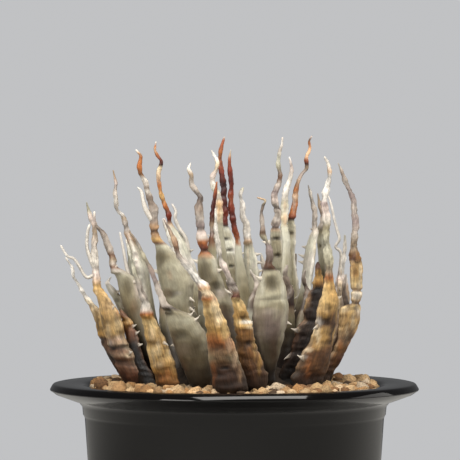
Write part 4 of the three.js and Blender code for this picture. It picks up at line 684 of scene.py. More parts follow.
            (68.3, "oxblood"), (63.8, "maroon"), (59.8, "brick"), (56.9, "rust"), (55.3, "mist"),
            (49.2, "sage"), (37.7, "moss")],
        "patches": [(-0.2, 74.4, 0.4, 4, "brick", 0.4), (2.3, 57.7, 0.7, 1, "ivory", 0.6)],
    },
]

# Leaves round the back and inside the rosette: the way they face, the foot's and collar's
# distance from the axis, the collar's and the tip's height above the rim, the width, the kind.
INNER_LEAVES = [
    (30, 22, 27, 36, 52, 14, "green"),
    (58, 21, 26, 34, 48, 13, "green"),
    (-8, 16, 19, 30, 42, 13, "green"),
    (-52, 21, 26, 36, 50, 14, "green"),
    (-82, 23, 29, 34, 48, 14, "green"),
    (-116, 21, 27, 36, 50, 14, "pale"),
    (-95, 9, 13, 40, 52, 12, "young"),
    (130, 11, 15, 38, 52, 12, "young"),
    (-160, 9, 12, 30, 42, 12, "young"),
    (78, 24, 30, 34, 46, 12, "green"),
    (60, 7, 9, 34, 46, 10, "young"),
]
BACK_LEAVES = [
    (-112, 38, 47, 30, 50, 13, "straw"),
    (-128, 39, 50, 24, 42, 12, "brown"),
    (-144, 38, 48, 31, 52, 14.5, "green"),
    (-161, 39, 51, 26, 46, 13, "straw"),
    (-178, 38, 49, 32, 54, 14.5, "green"),
    (164, 39, 51, 27, 47, 12.5, "straw"),
    (147, 38, 48, 31, 52, 14, "green"),
    (130, 39, 50, 25, 43, 12, "brown"),
    (112, 38, 47, 30, 52, 13.5, "straw"),
    (92, 37, 46, 26, 44, 11, "brown"),
]
BACK_SEED = 60
INNER_SEED = 80
WAVE_SEED = 21
WAVE_SWAY = 1.3
# Their widths on the way up, as shares of the width, and their teeth: the side and the share
# of the collar's height
RULE_WIDTHS = (0.72, 0.9, 1, 0.86, 0.52)
RULE_SPINE_WIDTHS = (0.3, 0.22, 0.19, 0.15, 0.09)
RULE_THORNS = ((-1, 0.7), (1, 0.55), (1, 0.85))
RULE_THORN_LENGTH = 2
RULE_THORN_RISE = 1

# Paints from the foot to the tip for a leaf that the front doesn't show, by kind, each with
# its share of the way up. The black and soot at the foot are painted shade where the leaves
# crowd.
RULE_TINTS = {
    "green": ((0, "black"), (0.2, "soot"), (0.42, "deep"), (0.55, "moss"), (0.62, "fawn"),
              (0.66, "ring"), (0.72, "smoke"), (0.86, "taupe"), (1, "grey")),
    "pale": ((0, "soot"), (0.25, "deep"), (0.45, "leaf"), (0.58, "mist"), (0.64, "cream"),
             (0.68, "maroon"), (0.8, "copper"), (0.9, "peach"), (1, "white")),
    "straw": ((0, "soot"), (0.16, "umber"), (0.3, "amber"), (0.52, "wheat"), (0.6, "sand"),
              (0.64, "rust"), (0.7, "stone"), (0.85, "pinkish"), (1, "white")),
    "brown": ((0, "black"), (0.2, "soot"), (0.42, "umber"), (0.56, "chestnut"), (0.63, "amber"),
              (0.7, "smoke"), (0.85, "taupe"), (1, "stone")),
    "young": ((0, "soot"), (0.3, "olive"), (0.52, "leaf"), (0.6, "mist"), (0.66, "slate"),
              (0.76, "taupe"), (0.88, "stone"), (1, "ivory")),
}

# Relief of the blade by kind, in millimetres: folds across it, sharp creases, fibres along it,
# ribs near the foot and knobs along the margins
FOLDS = {"green": 0.24, "pale": 0.2, "straw": 0.36, "brown": 0.36, "young": 0.16}
CREASES = {"green": 0.16, "pale": 0.2, "straw": 0.85, "brown": 0.85, "young": 0.08}
FIBRES = {"green": 0.06, "pale": 0.12, "straw": 0.16, "brown": 0.2, "young": 0.05}
RIBS = {"green": 0.1, "pale": 0.1, "straw": 1, "brown": 1, "young": 0.05}
EDGE_KNOBS = {"green": 0.35, "pale": 0.4, "straw": 0.35, "brown": 0.4, "young": 0.2}
RIB_TOP = 34
# The waves of that relief, a millimetre across the leaf and along it
BROAD_FOLD = (0.16, 0.24)
FINE_FOLD = (0.3, 0.7)
BROAD_CREASE = (0.13, 0.3)
FINE_CREASE = (0.34, 0.62)
RIB = (0.4, 0.03)
FIBRE = (1.3, 0.05)
EDGE_KNOB = (0.1, 0.5)
SPINE_KNOB = (1, 0.33)
FINE_KNOB = (0.9, 1.1)
DIMPLE = (0.5, 0.45)
# How far the outer side is drawn from a round back towards a flat sided keel, and how far the
# keel stands to one side, as a share of the half width
KEEL = {"green": 0.12, "pale": 0.1, "straw": 0.5, "brown": 0.45, "young": 0.1}
KEEL_PLACE = 0.22
MARGIN_BLUNTNESS = 0.86
MARGIN_SINK = 0.12
# How much lighter the blade is painted for each millimetre that it stands out, and darker in its
# hollows: painted light on the ridges and painted shade in the hollows. The spine's is for a
# relief as high as the spine is wide.
RELIEF_SHADING = {"green": 0.35, "pale": 0.5, "straw": 0.9, "brown": 0.9, "young": 0.3}
SPINE_RELIEF_SHADING = 2.6
DARKEST = 0.5
LIGHTEST = 1.25
PIT_SHADE = 0.5
# Pits and patches, the patches partly painted light and shade, end here, in squared half
# sizes, and lie where the skin faces the front
SPOT_END = 3
FRONT_LIMIT = 0.2
# Paint of the margins, its strength and how closely it keeps to the edge. It fades below
# MARGIN_CLEAN above the rim.
MARGIN_CLOSENESS = 7
MARGIN_CLEAN = 12
MARGIN_PAINT = {"green": "ivory", "pale": "white", "straw": "cream", "brown": "cocoa",
                "young": "mist"}
MARGIN_SHARE = {"green": 0.3, "pale": 0.65, "straw": 0.3, "brown": 0.45, "young": 0.4}

LEAF_SIDES = 30
STATION_GAP = 0.65
THORN_SIDES = 10
THORN_STEPS = 9
# A tooth starts inside the leaf. Its height and depth at the root and at the tip
THORN_INSIDE = 1.3
THORN_HIGH = (1.9, 0.16)
THORN_DEEP = (0.62, 0.13)
THREAD_SIDES = 10
THREAD_TIP = 0.12
THREAD_WOBBLE = 0.12


def linear(hex_colour):
    """An sRGB hex value as linear red, green, blue and alpha."""
    parts = [int(hex_colour[start:start + 2], 16) / 255 for start in (1, 3, 5)]
    scene_parts = [
        part / 12.92 if part <= 0.04045 else ((part + 0.055) / 1.055) ** 2.4 for part in parts
    ]
    return (*scene_parts, 1.0)


LINEAR_PAINTS = {name: Vector(linear(value)) for name, value in PAINTS.items()}


class AGAVE_PG_pot(bpy.types.PropertyGroup):
    """Sizes and colours of the pot and the gravel"""

    colour: FloatVectorProperty(
        name="Pot Colour", description="Colour of the glossy pot", subtype="COLOR", size=4,
        default=linear("#080707"), min=0, max=1)
    roughness: FloatProperty(
        name="Pot Roughness", description="Higher is duller", default=0.07, min=0, max=1)
    sides: IntProperty(
        name="Pot Sides", description="Steps round the pot", default=192, min=24, max=360)
    granules: IntProperty(
        name="Granules", description="Loose granules tried over the bed", default=1500,
        min=100, max=4000)
    granule_size: FloatProperty(
        name="Granule Size", description="Typical granule radius", unit="LENGTH",
        default=1.75 * MM, min=0.5 * MM, max=5 * MM)


class AGAVE_PG_leaves(bpy.types.PropertyGroup):
    """Looks of the leaves"""

    roughness: FloatProperty(
        name="Leaf Roughness", description="Waxy living leaves", default=0.5, min=0, max=1)
    dry_roughness: FloatProperty(
        name="Dry Roughness", description="Old papery leaves", default=0.62, min=0, max=1)
    folds: FloatProperty(
        name="Folds", description="Multiplies the wrinkles across the blades", default=1,
        min=0, max=3)
    knobs: FloatProperty(
        name="Knobs", description="Swelling of the spines, as a share of their width",
        default=0.22, min=0, max=0.5)
    thorn_colour: FloatVectorProperty(
        name="Tooth Colour", description="Colour of the teeth at the margins", subtype="COLOR",
        size=4, default=linear("#e2d8c8"), min=0, max=1)


class AGAVE_PG_stage(bpy.types.PropertyGroup):
    """Floor, background and lights"""

    floor_colour: FloatVectorProperty(
        name="Floor Colour", description="Colour of the plain floor", subtype="COLOR", size=4,
        default=linear("#d9d8d4"), min=0, max=1)
    background: FloatProperty(
        name="Background", description="Brightness of the plain background", default=0.8,
        min=0, max=3)
    ambience: FloatProperty(
        name="Ambience", description="Brightness of the light from all round", default=0.2,
        min=0, max=3)
    key_power: FloatProperty(
        name="Key Light", description="Power of the high softbox, in watts", default=11.5,
        min=0, max=200)
    side_power: FloatProperty(
        name="Side Light", description="Power of the right softbox, in watts", default=2,
        min=0, max=200)
    fill_power: FloatProperty(
        name="Fill Light", description="Power of the left softbox, in watts", default=3.2,
        min=0, max=200)
    strip_power: FloatProperty(
        name="Strip Light", description="Power of the left strip, in watts", default=1.4,
        min=0, max=200)


def seeded_random(seed):
    """A repeatable draw between 0 and 1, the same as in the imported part's source."""
    state = seed

    def draw():
        nonlocal state
        state = (state * 1664525 + 1013904223) % 4294967296
        return state / 4294967296

    return draw


def mix(first, second, share):
    """The value this share of the way from the first to the second."""
    return first + (second - first) * share


def seen_point(across, up, depth):
    """The point at this depth that lines up with (across, up) on the axis plane."""
    nearness = 1 - depth / EYE_DISTANCE
    x = EYE_X + (across - EYE_X) * nearness
    z = POT_HEIGHT + EYE_UP + (up - EYE_UP) * nearness
    return Vector((x, -depth, z))


def seen_place(point):
    """Where a point lines up on the axis plane: (across, height above the rim)."""
    nearness = 1 + point.y / EYE_DISTANCE
    across = EYE_X + (point.x - EYE_X) / nearness
    return across, EYE_UP + (point.z - POT_HEIGHT - EYE_UP) / nearness


def facing(degrees):
    """The level direction so many degrees to the right of the front."""
    angle = math.radians(degrees)
    return Vector((math.sin(angle), -math.cos(angle), 0))


class Ring:
    """One station of a leaf: its centre, its half across and its thickness outwards."""

    def __init__(self, centre, side, out, blade):
        self.centre = centre
        self.side = side
        self.out = out
        self.blade = blade
        self.along = 0


def blade_ring(centre, outward, half_width, plump):
    """A level station of the blade."""
    side = Vector((-outward.y, outward.x, 0)) * half_width
    return Ring(centre, side, outward * (2 * half_width * plump), 1)


def spine_ring(centre, along, outward, width):
    """A station of the spine, square to its course."""
    across = along.cross(outward).normalized()
    out = across.cross(along).normalized()
    thickness = max(width * SPINE_ROUNDNESS, THINNEST)
    return Ring(centre, across * max(width, THINNEST) / 2, out * thickness, 0)


def blade_rows(leaf):
    """The blade's rows in space: (centre, half width), widened by the way the leaf faces."""
    angle = math.radians(leaf["face"])
    shown = math.hypot(math.cos(angle), PLUMPNESS[leaf["kind"]] * math.sin(angle))
    lowest = leaf["blade"][0][2]
    highest = leaf["spine"][0][1]
    rows = []
    for left, right, up in leaf["blade"]:
        share = (up - lowest) / (highest - lowest)
        depth = mix(leaf["depth"][0], leaf["depth"][1], share)
        rows.append((seen_point((left + right) / 2, up, depth), (right - left) / 2 / shown))
    return rows


def spine_rows(leaf):
    """The spine's rows in space: (centre, width)."""
    lowest = leaf["spine"][0][1]
    highest = leaf["spine"][-1][1]
    rows = []
    for across, up, width in leaf["spine"]:
        share = (up - lowest) / (highest - lowest)
        depth = mix(leaf["depth"][1], leaf["depth"][2], share)
        rows.append((seen_point(across, up, depth), width))
    return rows


def root_row(row):
    """The foot is tucked in towards the stem below the lowest row."""
    centre, half_width = row
    distance = math.hypot(centre.x, centre.y)
    shrink = min(distance, ROOT_RADIUS) / distance
    point = Vector((centre.x * shrink, centre.y * shrink, POT_HEIGHT + ROOT_UP))
    return point, half_width * ROOT_NARROWING


def leaf_rings(leaf, rows, spine):
    """The leaf's stations from its root to its blunted tip."""
    outward = facing(leaf["face"])
    plump = PLUMPNESS[leaf["kind"]]
    whole = [root_row(rows[0]), *rows]
    rings = [blade_ring(centre, outward, half, plump) for centre, half in whole]
    for index, (centre, width) in enumerate(spine):
        before = spine[index - 1][0] if index else rows[-1][0]
        after = spine[index + 1][0] if index < len(spine) - 1 else centre
        rings.append(spine_ring(centre, (after - before).normalized(), outward, width))
    tip = rings[-1]
    beyond = (tip.centre - rings[-2].centre).normalized() * TIP_REACH
    tip.side = tip.side * TIP_WIDTH
    tip.out = tip.out * TIP_WIDTH
    end = Ring(tip.centre + beyond, tip.side * TIP_END_WIDTH, tip.out * TIP_END_WIDTH, 0)
    rings.append(end)
    return rings


def smooth_rings(rings, gap):
    """Rings about gap apart on a smooth curve through the given ones."""
    places = [0.0]
    for before, after in zip(rings, rings[1:]):
        places.append(places[-1] + max((after.centre - before.centre).length, 0.1))

    def slope(field, index):
        low = max(index - 1, 0)
        high = min(index + 1, len(rings) - 1)
        change = getattr(rings[high], field) - getattr(rings[low], field)
        return change / (places[high] - places[low])

    finer = []
    for index in range(len(rings) - 1):
        length = places[index + 1] - places[index]
        steps = max(1, round(length / gap))
        for step in range(steps):
            finer.append(curve_ring(rings, index, step / steps, length, slope))
            finer[-1].along = places[index] + length * step / steps
    finer.append(rings[-1])
    finer[-1].along = places[-1]
    return finer


def curve_ring(rings, index, share, length, slope):
    """A ring between two others, by the cubic that has their slopes at its ends."""
    cube = share ** 3
    square = share ** 2
    start = 2 * cube - 3 * square + 1
    end = 3 * square - 2 * cube
    leave = (cube - 2 * square + share) * length
    arrive = (cube - square) * length
    parts = [
        start * getattr(rings[index], field) + end * getattr(rings[index + 1], field)
        + leave * slope(field, index) + arrive * slope(field, index + 1)
        for field in ("centre", "side", "out", "blade")
    ]
    return Ring(*parts)


def section(turn, keel):
    """The leaf's cross section: a keeled outer side, thin margins and a flatter inner side."""
    side = math.cos(turn)
    lift = math.sin(turn)
    if lift > 0:
        half = 1 - KEEL_PLACE if side > KEEL_PLACE else -1 - KEEL_PLACE
        lift = mix(lift, 1 - (side - KEEL_PLACE) / half, keel)
    wide = math.copysign(abs(side) ** MARGIN_BLUNTNESS, side)
    return wide, 0.5 * lift - MARGIN_SINK * side * side


def start_layers(bm):
    """Adds what each corner carries: its place in the ring, its colour, its place on the leaf."""
    bm.verts.layers.int.new("corner")
    bm.verts.layers.float_color.new("tint")
    bm.verts.layers.float_vector.new("leaf_place")


def extrude_rings(bm, stations):
    """Joins rings of (points, colours, places) into one closed skin, by extruding the first."""
    corner = bm.verts.layers.int["corner"]
    tint = bm.verts.layers.float_color["tint"]
    leaf_place = bm.verts.layers.float_vector["leaf_place"]
    ring = bmesh.ops.create_circle(bm, segments=len(stations[0][0]), radius=1)["verts"]
    for index, vert in enumerate(ring):
        vert[corner] = index
    edges = list(dict.fromkeys(edge for vert in ring for edge in vert.link_edges))
    bmesh.ops.contextual_create(bm, geom=edges)
    for step, (points, colours, places) in enumerate(stations):
        if step:
            grown = bmesh.ops.extrude_edge_only(bm, edges=edges)["geom"]
            ring = [item for item in grown if isinstance(item, bmesh.types.BMVert)]
            edges = [item for item in grown if isinstance(item, bmesh.types.BMEdge)]
        for vert in ring:
            index = vert[corner]
            vert.co = points[index] * MM
            vert[tint] = colours[index]
            vert[leaf_place] = places[index] * MM
    bmesh.ops.contextual_create(bm, geom=edges)


def stop_colour(tints, up):
    """The paint at a height, from stops that fall from the tip to the foot."""
    if up >= tints[0][0]:
        return LINEAR_PAINTS[tints[0][1]]
    for (high, first), (low, second) in zip(tints, tints[1:]):
        if up >= low:
            return LINEAR_PAINTS[first].lerp(LINEAR_PAINTS[second], (high - up) / (high - low))
    return LINEAR_PAINTS[tints[-1][1]]


def groove_depth(leaf, up):
    """How deep the leaf's grooves cut at a height."""
    depth = 0
    for height, half_height, deep in leaf.get("grooves", ()):
        depth += deep * math.exp(-((up - height) / half_height) ** 2)
    return depth


def squared_reach(spot, across, up):
    """How far a place lies from a spot's centre, squared, in half sizes of the spot."""
    centre, height, half_width, half_height = spot[:4]
    return ((across - centre) / half_width) ** 2 + ((up - height) / half_height) ** 2


def pit_depth(leaf, across, up):
    """How deep the leaf's pits cut at a place seen from the front."""
    depth = 0
    for pit in leaf.get("pits", ()):
        reach = squared_reach(pit, across, up)
        if reach < SPOT_END:
            depth += pit[4] * math.exp(-reach * reach)
    return depth


def wave(place, shift, across, along):
    """Smooth noise on the straightened leaf, with so many waves a millimetre each way."""
    return noise.noise(Vector((place.x * across, place.y * across, place.z * along)) + shift)


def ridges(top, place, shift, waves):
    """Sharp ridges between soft valleys, cut out of smooth noise."""
    return top - abs(wave(place, shift, *waves))


def relief(leaf, place, wide, blade, width, looks):
    """How far the skin stands out at a place along the straightened leaf, in millimetres."""
    kind = leaf["kind"]
    shift = Vector((leaf["seed"] * 17.3, leaf["seed"] * 5.1, 0))
    low = max(0, 1 - place.z / RIB_TOP)
    fold = wave(place, shift, *BROAD_FOLD) + 0.45 * wave(place, shift, *FINE_FOLD)
    crease = ridges(0.3, place, shift, BROAD_CREASE) - 0.5 * abs(wave(place, shift, *FINE_CREASE))
    rib = ridges(0.3, place, shift, RIB)
    on_blade = looks.folds * (FOLDS[kind] * fold + CREASES[kind] * crease)
    on_blade += FIBRES[kind] * wave(place, shift, *FIBRE) + RIBS[kind] * rib * low
    on_blade += EDGE_KNOBS[kind] * abs(wide) ** 6 * wave(place, shift, *EDGE_KNOB)
    middle = Vector((0, 0, place.z))
    knob = wave(middle, shift, *SPINE_KNOB) + 0.5 * wave(place, shift, *FINE_KNOB)
    dimple = ridges(0.2, place, shift, DIMPLE)
    on_spine = width * looks.knobs * (knob + 0.8 * dimple)
    return mix(on_spine, on_blade, blade)


def patched(leaf, colour, across, up):
    """The colour with the leaf's patches over it: own marks, painted light and painted shade."""
    for patch in leaf.get("patches", ()):
        reach = squared_reach(patch, across, up)
        if reach < SPOT_END:
            paint, strength = patch[4:]
            share = strength * math.exp(-reach * reach * 0.5)
            colour = colour.lerp(LINEAR_PAINTS[paint], share)
    return colour


def skin_colour(leaf, across, up, wide, blade, in_front):
    """Paint at a place: tints, margin and front patches, with painted light and shade in them."""
    margin = LINEAR_PAINTS[MARGIN_PAINT[leaf["kind"]]]
    edge = abs(wide) ** MARGIN_CLOSENESS * MARGIN_SHARE[leaf["kind"]] * blade
    clean = min(1, max(0.1, up / MARGIN_CLEAN))
    colour = stop_colour(leaf["tints"], up).lerp(margin, edge * clean)
    return patched(leaf, colour, across, up) if in_front else colour


def skin_shade(leaf, lift, pit, blade, width):
    """Painted light where the skin stands out and painted shade in its hollows and pits."""
    # wear sets how strongly the relief paints light on the ridges and shade in the hollows
    wear = mix(SPINE_RELIEF_SHADING / width, RELIEF_SHADING[leaf["kind"]], blade)
    relief_shading = min(LIGHTEST, max(DARKEST, 1 + wear * lift))
    return (1 - PIT_SHADE * min(1, pit)) * relief_shading


def skin_ring(leaf, ring, looks):
    """One station of the skin: its points, their colours and their places along the leaf."""
    blade = min(1, max(0, ring.blade))
    width = 2 * ring.side.length
    points, colours, places = [], [], []
    for index in range(LEAF_SIDES):
        wide, out = section(2 * math.pi * index / LEAF_SIDES, KEEL[leaf["kind"]] * blade)
        offset = ring.side * wide + ring.out * out
        place = Vector((wide * ring.side.length, out * ring.out.length, ring.along))
        point = ring.centre + offset
        across, up = seen_place(point)
        outward = offset.normalized()
        in_front = outward.y < FRONT_LIMIT
        lift = relief(leaf, place, wide, blade, width, looks)
        pit = pit_depth(leaf, across, up) if in_front else 0
        colour = skin_colour(leaf, across, up, wide, blade, in_front)
        shade = skin_shade(leaf, lift, pit, blade, width)
        points.append(point + outward * (lift - groove_depth(leaf, up) - pit))
        colours.append(Vector((*(colour.xyz * shade), 1)))
        places.append(place)
    return points, colours, places


def leaf_skin(bm, leaf, rings, looks):
    """The leaf's blade and spine as one skin, with its relief and its colours."""
    stations = [skin_ring(leaf, ring, looks) for ring in smooth_rings(rings, STATION_GAP)]
    extrude_rings(bm, stations)


def thread_rings(points, radii, colours):
    """The rings of a round tapering thread through the points."""
    turns = [2 * math.pi * side / THREAD_SIDES for side in range(THREAD_SIDES)]
    stations = []
    along_mm = 0
    for index, point in enumerate(points):
        before = points[max(index - 1, 0)]
        after = points[min(index + 1, len(points) - 1)]
        along = (after - before).normalized()
        across = along.cross(Vector((0.13, -1, 0.07))).normalized()
        out = across.cross(along)
        along_mm += (point - before).length
        radius = radii[index]
        ring = [
            point + (across * math.cos(turn) * radius + out * math.sin(turn) * radius)
            for turn in turns
        ]
        places = [
            Vector((math.cos(turn) * radius, math.sin(turn) * radius, along_mm))
            for turn in turns
        ]
        stations.append((ring, [colours[index]] * THREAD_SIDES, places))
    return stations


def sideways(leaf, side):
    """The level direction towards the margin that the front sees on this side."""
    turned = -side if math.cos(math.radians(leaf["face"])) < 0 else side
    return facing(leaf["face"] + 90) * turned


def thorn_root(leaf, rows, spine, side, up):
    """Where a tooth grows: on the blade's margin, or on the spine above the collar."""
    heights = [row[0].z - POT_HEIGHT for row in rows]
    above = next((index for index, height in enumerate(heights) if height > up), 0)
    if above:
        share = (up - heights[above - 1]) / (heights[above] - heights[above - 1])
        root = rows[above - 1][0].lerp(rows[above][0], share)
        half = mix(rows[above - 1][1], rows[above][1], share)
        return root + sideways(leaf, side) * half
    centres = [row[0] for row in spine]
    return min(centres, key=lambda centre: abs(centre.z - POT_HEIGHT - up)).copy()


def thorn_ring(centre, high, deep, colour, share):
    """One upright oval ring of a tooth."""
    turns = [2 * math.pi * index / THORN_SIDES for index in range(THORN_SIDES)]
    points = [centre + Vector((0, deep * math.cos(turn), high * math.sin(turn))) for turn in turns]
    places = [Vector((high * math.cos(turn), 0, 4 * share)) for turn in turns]
    return points, [colour] * THORN_SIDES, places


def leaf_thorns(bm, leaf, rows, spine, looks):
    """Horny teeth along the margins: flat, broad at the root and hooked along their rise."""
    pale = Vector(looks.thorn_colour)
    margin = LINEAR_PAINTS[MARGIN_PAINT[leaf["kind"]]]
    for side, up, length, rise in leaf.get("thorns", ()):
        root = thorn_root(leaf, rows, spine, side, up)
        outward = sideways(leaf, side)
        root_colour = stop_colour(leaf["tints"], up).lerp(margin, 0.4)
        fullness = min(1, 0.55 + length * 0.2)
        stations = []
        for step in range(THORN_STEPS):
            share = step / (THORN_STEPS - 1)
            hook = Vector((0, 0, rise * share ** 2))
            centre = root + outward * mix(-THORN_INSIDE, length, share) + hook
            high = mix(*THORN_HIGH, share ** 0.55) * fullness
            colour = root_colour.lerp(pale, min(1, share * 1.5))
            stations.append(thorn_ring(centre, high, mix(*THORN_DEEP, share), colour, share))
        extrude_rings(bm, stations)


def leaf_threads(bm, leaf):
    """Loose horny threads that have come away from the margins."""
    for thread, rows in enumerate(leaf.get("threads", ())):
        rings = []
        for across, up, width in rows:
            centre = seen_point(across, up, leaf["depth"][1])
            radius = Vector((max(width, THINNEST) / 2, 0, 0))
            rings.append(Ring(centre, radius, radius, 0))
        smooth = smooth_rings(rings, STATION_GAP)
        count = len(smooth)
        shift = thread * 9 + leaf["seed"]
        radii = []
        for ring in smooth:
            wobble = THREAD_WOBBLE * noise.noise(Vector((shift, 0, ring.along * 0.4)))
            radii.append(ring.side.length * (1 + wobble))
        radii[-1] = THREAD_TIP
        colours = [
            LINEAR_PAINTS["ivory"].lerp(LINEAR_PAINTS["white"], index / count)
            for index in range(count)
        ]
        extrude_rings(bm, thread_rings([ring.centre for ring in smooth], radii, colours))


def leaf_by_rule(where, row, index):
    """A leaf of the back or the inside of the rosette, from one row of its list."""
    face, foot, collar, collar_up, tip_up, width, kind = row
    draw = seeded_random(WAVE_SEED + index)
    outward = facing(face)
    across = Vector((-outward.y, outward.x, 0))

    def place(distance, up, sway):
        point = outward * distance + across * sway
        return Vector((point.x, point.y, POT_HEIGHT + up))

    rows = []
    for step, share in enumerate(RULE_WIDTHS):
        part = step / (len(RULE_WIDTHS) - 1)
        sway = (draw() - 0.5) * part
        centre = place(mix(foot, collar, part), mix(-1, collar_up, part), sway)
        rows.append((centre, width * share / 2))
    phase = draw() * 2 * math.pi
    spine = []
    for step, share in enumerate(RULE_SPINE_WIDTHS):
        part = (step + 0.6) / (len(RULE_SPINE_WIDTHS) - 0.4)
        growth = min(1, part * 2)
        sway = WAVE_SWAY * math.sin(phase + part * 5) * growth
        lean = WAVE_SWAY * math.cos(phase + part * 4) * growth
        spine.append((place(collar + lean, mix(collar_up, tip_up, part), sway), width * share))
    tints = [(tip_up * share, paint) for share, paint in reversed(RULE_TINTS[kind])]
    thorns = [
        (side, collar_up * share, RULE_THORN_LENGTH, RULE_THORN_RISE)
        for side, share in RULE_THORNS
    ]
    leaf = {
        "name": f"{kind}_leaf_{where}_{index + 1}", "kind": kind, "face": face,
        "thorns": thorns, "tints": tints,
    }
    return leaf, rows, spine


def finish_mesh(bm, name, material):
    """Makes a shaded object of a bmesh, with the world's place in its mesh."""
    bmesh.ops.recalc_face_normals(bm, faces=bm.faces)
    mesh = bpy.data.meshes.new(name)
    bm.to_mesh(mesh)
    bm.free()
    piece = bpy.data.objects.new(name, mesh)
    bpy.context.scene.collection.objects.link(piece)
    mesh.materials.append(material)
    mesh.shade_smooth()
    return piece


def grow_leaf(leaf, rows, spine, seed, materials, looks):
    """One leaf as one piece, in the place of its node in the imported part."""
    leaf["seed"] = seed
    bm = bmesh.new()
    start_layers(bm)
    leaf_skin(bm, leaf, leaf_rings(leaf, rows, spine), looks)
    leaf_thorns(bm, leaf, rows, spine, looks)
    leaf_threads(bm, leaf)
    piece = finish_mesh(bm, f"grown_{leaf['name']}", materials[leaf["kind"]])
    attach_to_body(piece, "root")
    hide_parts(leaf["name"])
    return piece


def add_node(material, kind, links=(), **settings):
    """Adds a node to a material, sets its values and sockets, and links its sockets."""
    node = material.node_tree.nodes.new(kind)
    for key, value in settings.items():
        if key in node.inputs:
            node.inputs[key].default_value = value
        else:
            setattr(node, key, value)
    for socket, source in links:
        material.node_tree.links.new(source, node.inputs[socket])
    return node


def new_material(name):
    """A material with its shader node."""
    material = bpy.data.materials.new(name)
    material.use_nodes = True
    return material, material.node_tree.nodes["Principled BSDF"]


def attach(material, source, shader, socket):
    """Links a value to one of the shader's sockets."""
    material.node_tree.links.new(source, shader.inputs[socket])


def add_noise(material, place, scale, detail, **settings):
    """A noise texture's value at a place."""
    node = add_node(
        material, "ShaderNodeTexNoise", [("Vector", place)], Scale=scale, Detail=detail,
        **settings)
    return node.outputs["Fac"]


def stretch(material, value, low, high, least, most):
    """The value with its range from low to high drawn out to least and most."""
    limits = {"From Min": low, "From Max": high, "To Min": least, "To Max": most}
    return add_node(
        material, "ShaderNodeMapRange", [("Value", value)], **limits).outputs["Result"]


def combine(material, operation, first, second):
    """Two values added or multiplied."""
    return add_node(
        material, "ShaderNodeMath", [(0, first), (1, second)],
        operation=operation).outputs["Value"]


def add_bump(material, shader, height, strength, distance_mm):
    """Relief too fine for the mesh."""
    bump = add_node(
        material, "ShaderNodeBump", [("Height", height)],
        Strength=strength, Distance=distance_mm * MM)
    attach(material, bump.outputs["Normal"], shader, "Normal")


def leaf_material(name, roughness, streak, bump_mm, wear):
    """The leaf's tint with its painted light and shade, fibres along it and fine blotches."""
    material, shader = new_material(name)
    tint = add_node(material, "ShaderNodeAttribute", attribute_name="tint")
    place = add_node(material, "ShaderNodeAttribute", attribute_name="leaf_place")
    along = add_node(
        material, "ShaderNodeMapping", [("Vector", place.outputs["Vector"])],
        Scale=(1000, 1000, 70))
    fibre = add_noise(material, along.outputs["Vector"], 1.6, 4, Roughness=0.6)
    blotch_place = add_node(
        material, "ShaderNodeMapping", [("Vector", place.outputs["Vector"])],
        Scale=(1000, 1000, 600))
    blotch = add_noise(material, blotch_place.outputs["Vector"], 0.55, 6, Roughness=0.65)
    fibre_shade = stretch(material, fibre, 0.3, 0.7, 1 - streak, 1 + streak * 0.6)
    blotch_shade = stretch(material, blotch, 0.32, 0.68, 1 - wear, 1 + wear * 0.6)
    shade = combine(material, "MULTIPLY", fibre_shade, blotch_shade)
    painted = add_node(
        material, "ShaderNodeVectorMath",
        [(0, tint.outputs["Color"]), ("Scale", shade)], operation="SCALE")
    attach(material, painted.outputs["Vector"], shader, "Base Color")
    add_bump(material, shader, combine(material, "ADD", fibre, blotch), 0.6, bump_mm)
    shader.inputs["Roughness"].default_value = roughness
    shader.inputs["IOR"].default_value = 1.45
    return material


def leaf_materials(looks):
    """One material for each kind of leaf."""
    return {
        # Living agave leaf, grown: a dull waxy bloom over smooth grey-green skin
        "green": leaf_material("Waxy Agave Leaf", looks.roughness, 0.16, 0.16, 0.22),
        # Pale agave leaf, grown: bloom rubbed off along the ribs, chalky margins
        "pale": leaf_material("Chalky Agave Leaf", looks.roughness, 0.28, 0.24, 0.28),
        # Young agave leaf, grown: smoother and slightly glossier
        "young": leaf_material("Young Agave Leaf", looks.roughness - 0.06, 0.1, 0.1, 0.14),
        # Dead agave leaf, sun dried: papery straw skin with long fibres and stains
        "straw": leaf_material("Dried Straw Leaf", looks.dry_roughness, 0.42, 0.4, 0.34),
        # Dead agave leaf, rotted and dried: dark shrunken skin over hard ribs
        "brown": leaf_material("Withered Brown Leaf", looks.dry_roughness - 0.1, 0.45, 0.5, 0.4),
    }


def pot_material(sizes):
    """Gloss plastic, moulded: near black with soft broad reflections."""
    material, shader = new_material("Moulded Gloss Plastic")
    shader.inputs["Base Color"].default_value = sizes.colour
    shader.inputs["IOR"].default_value = 1.5
    shader.inputs["Specular IOR Level"].default_value = 0.22
    place = add_node(material, "ShaderNodeTexCoord").outputs["Object"]
    # Moulding grain is finer than the render shows, so it is drawn at 1.5 mm
    grain = add_noise(material, place, 670, 3)
    rough = stretch(material, grain, 0, 1, sizes.roughness - 0.05, sizes.roughness + 0.06)
    attach(material, rough, shader, "Roughness")
    add_bump(material, shader, grain, 0.2, 0.02)
    return material


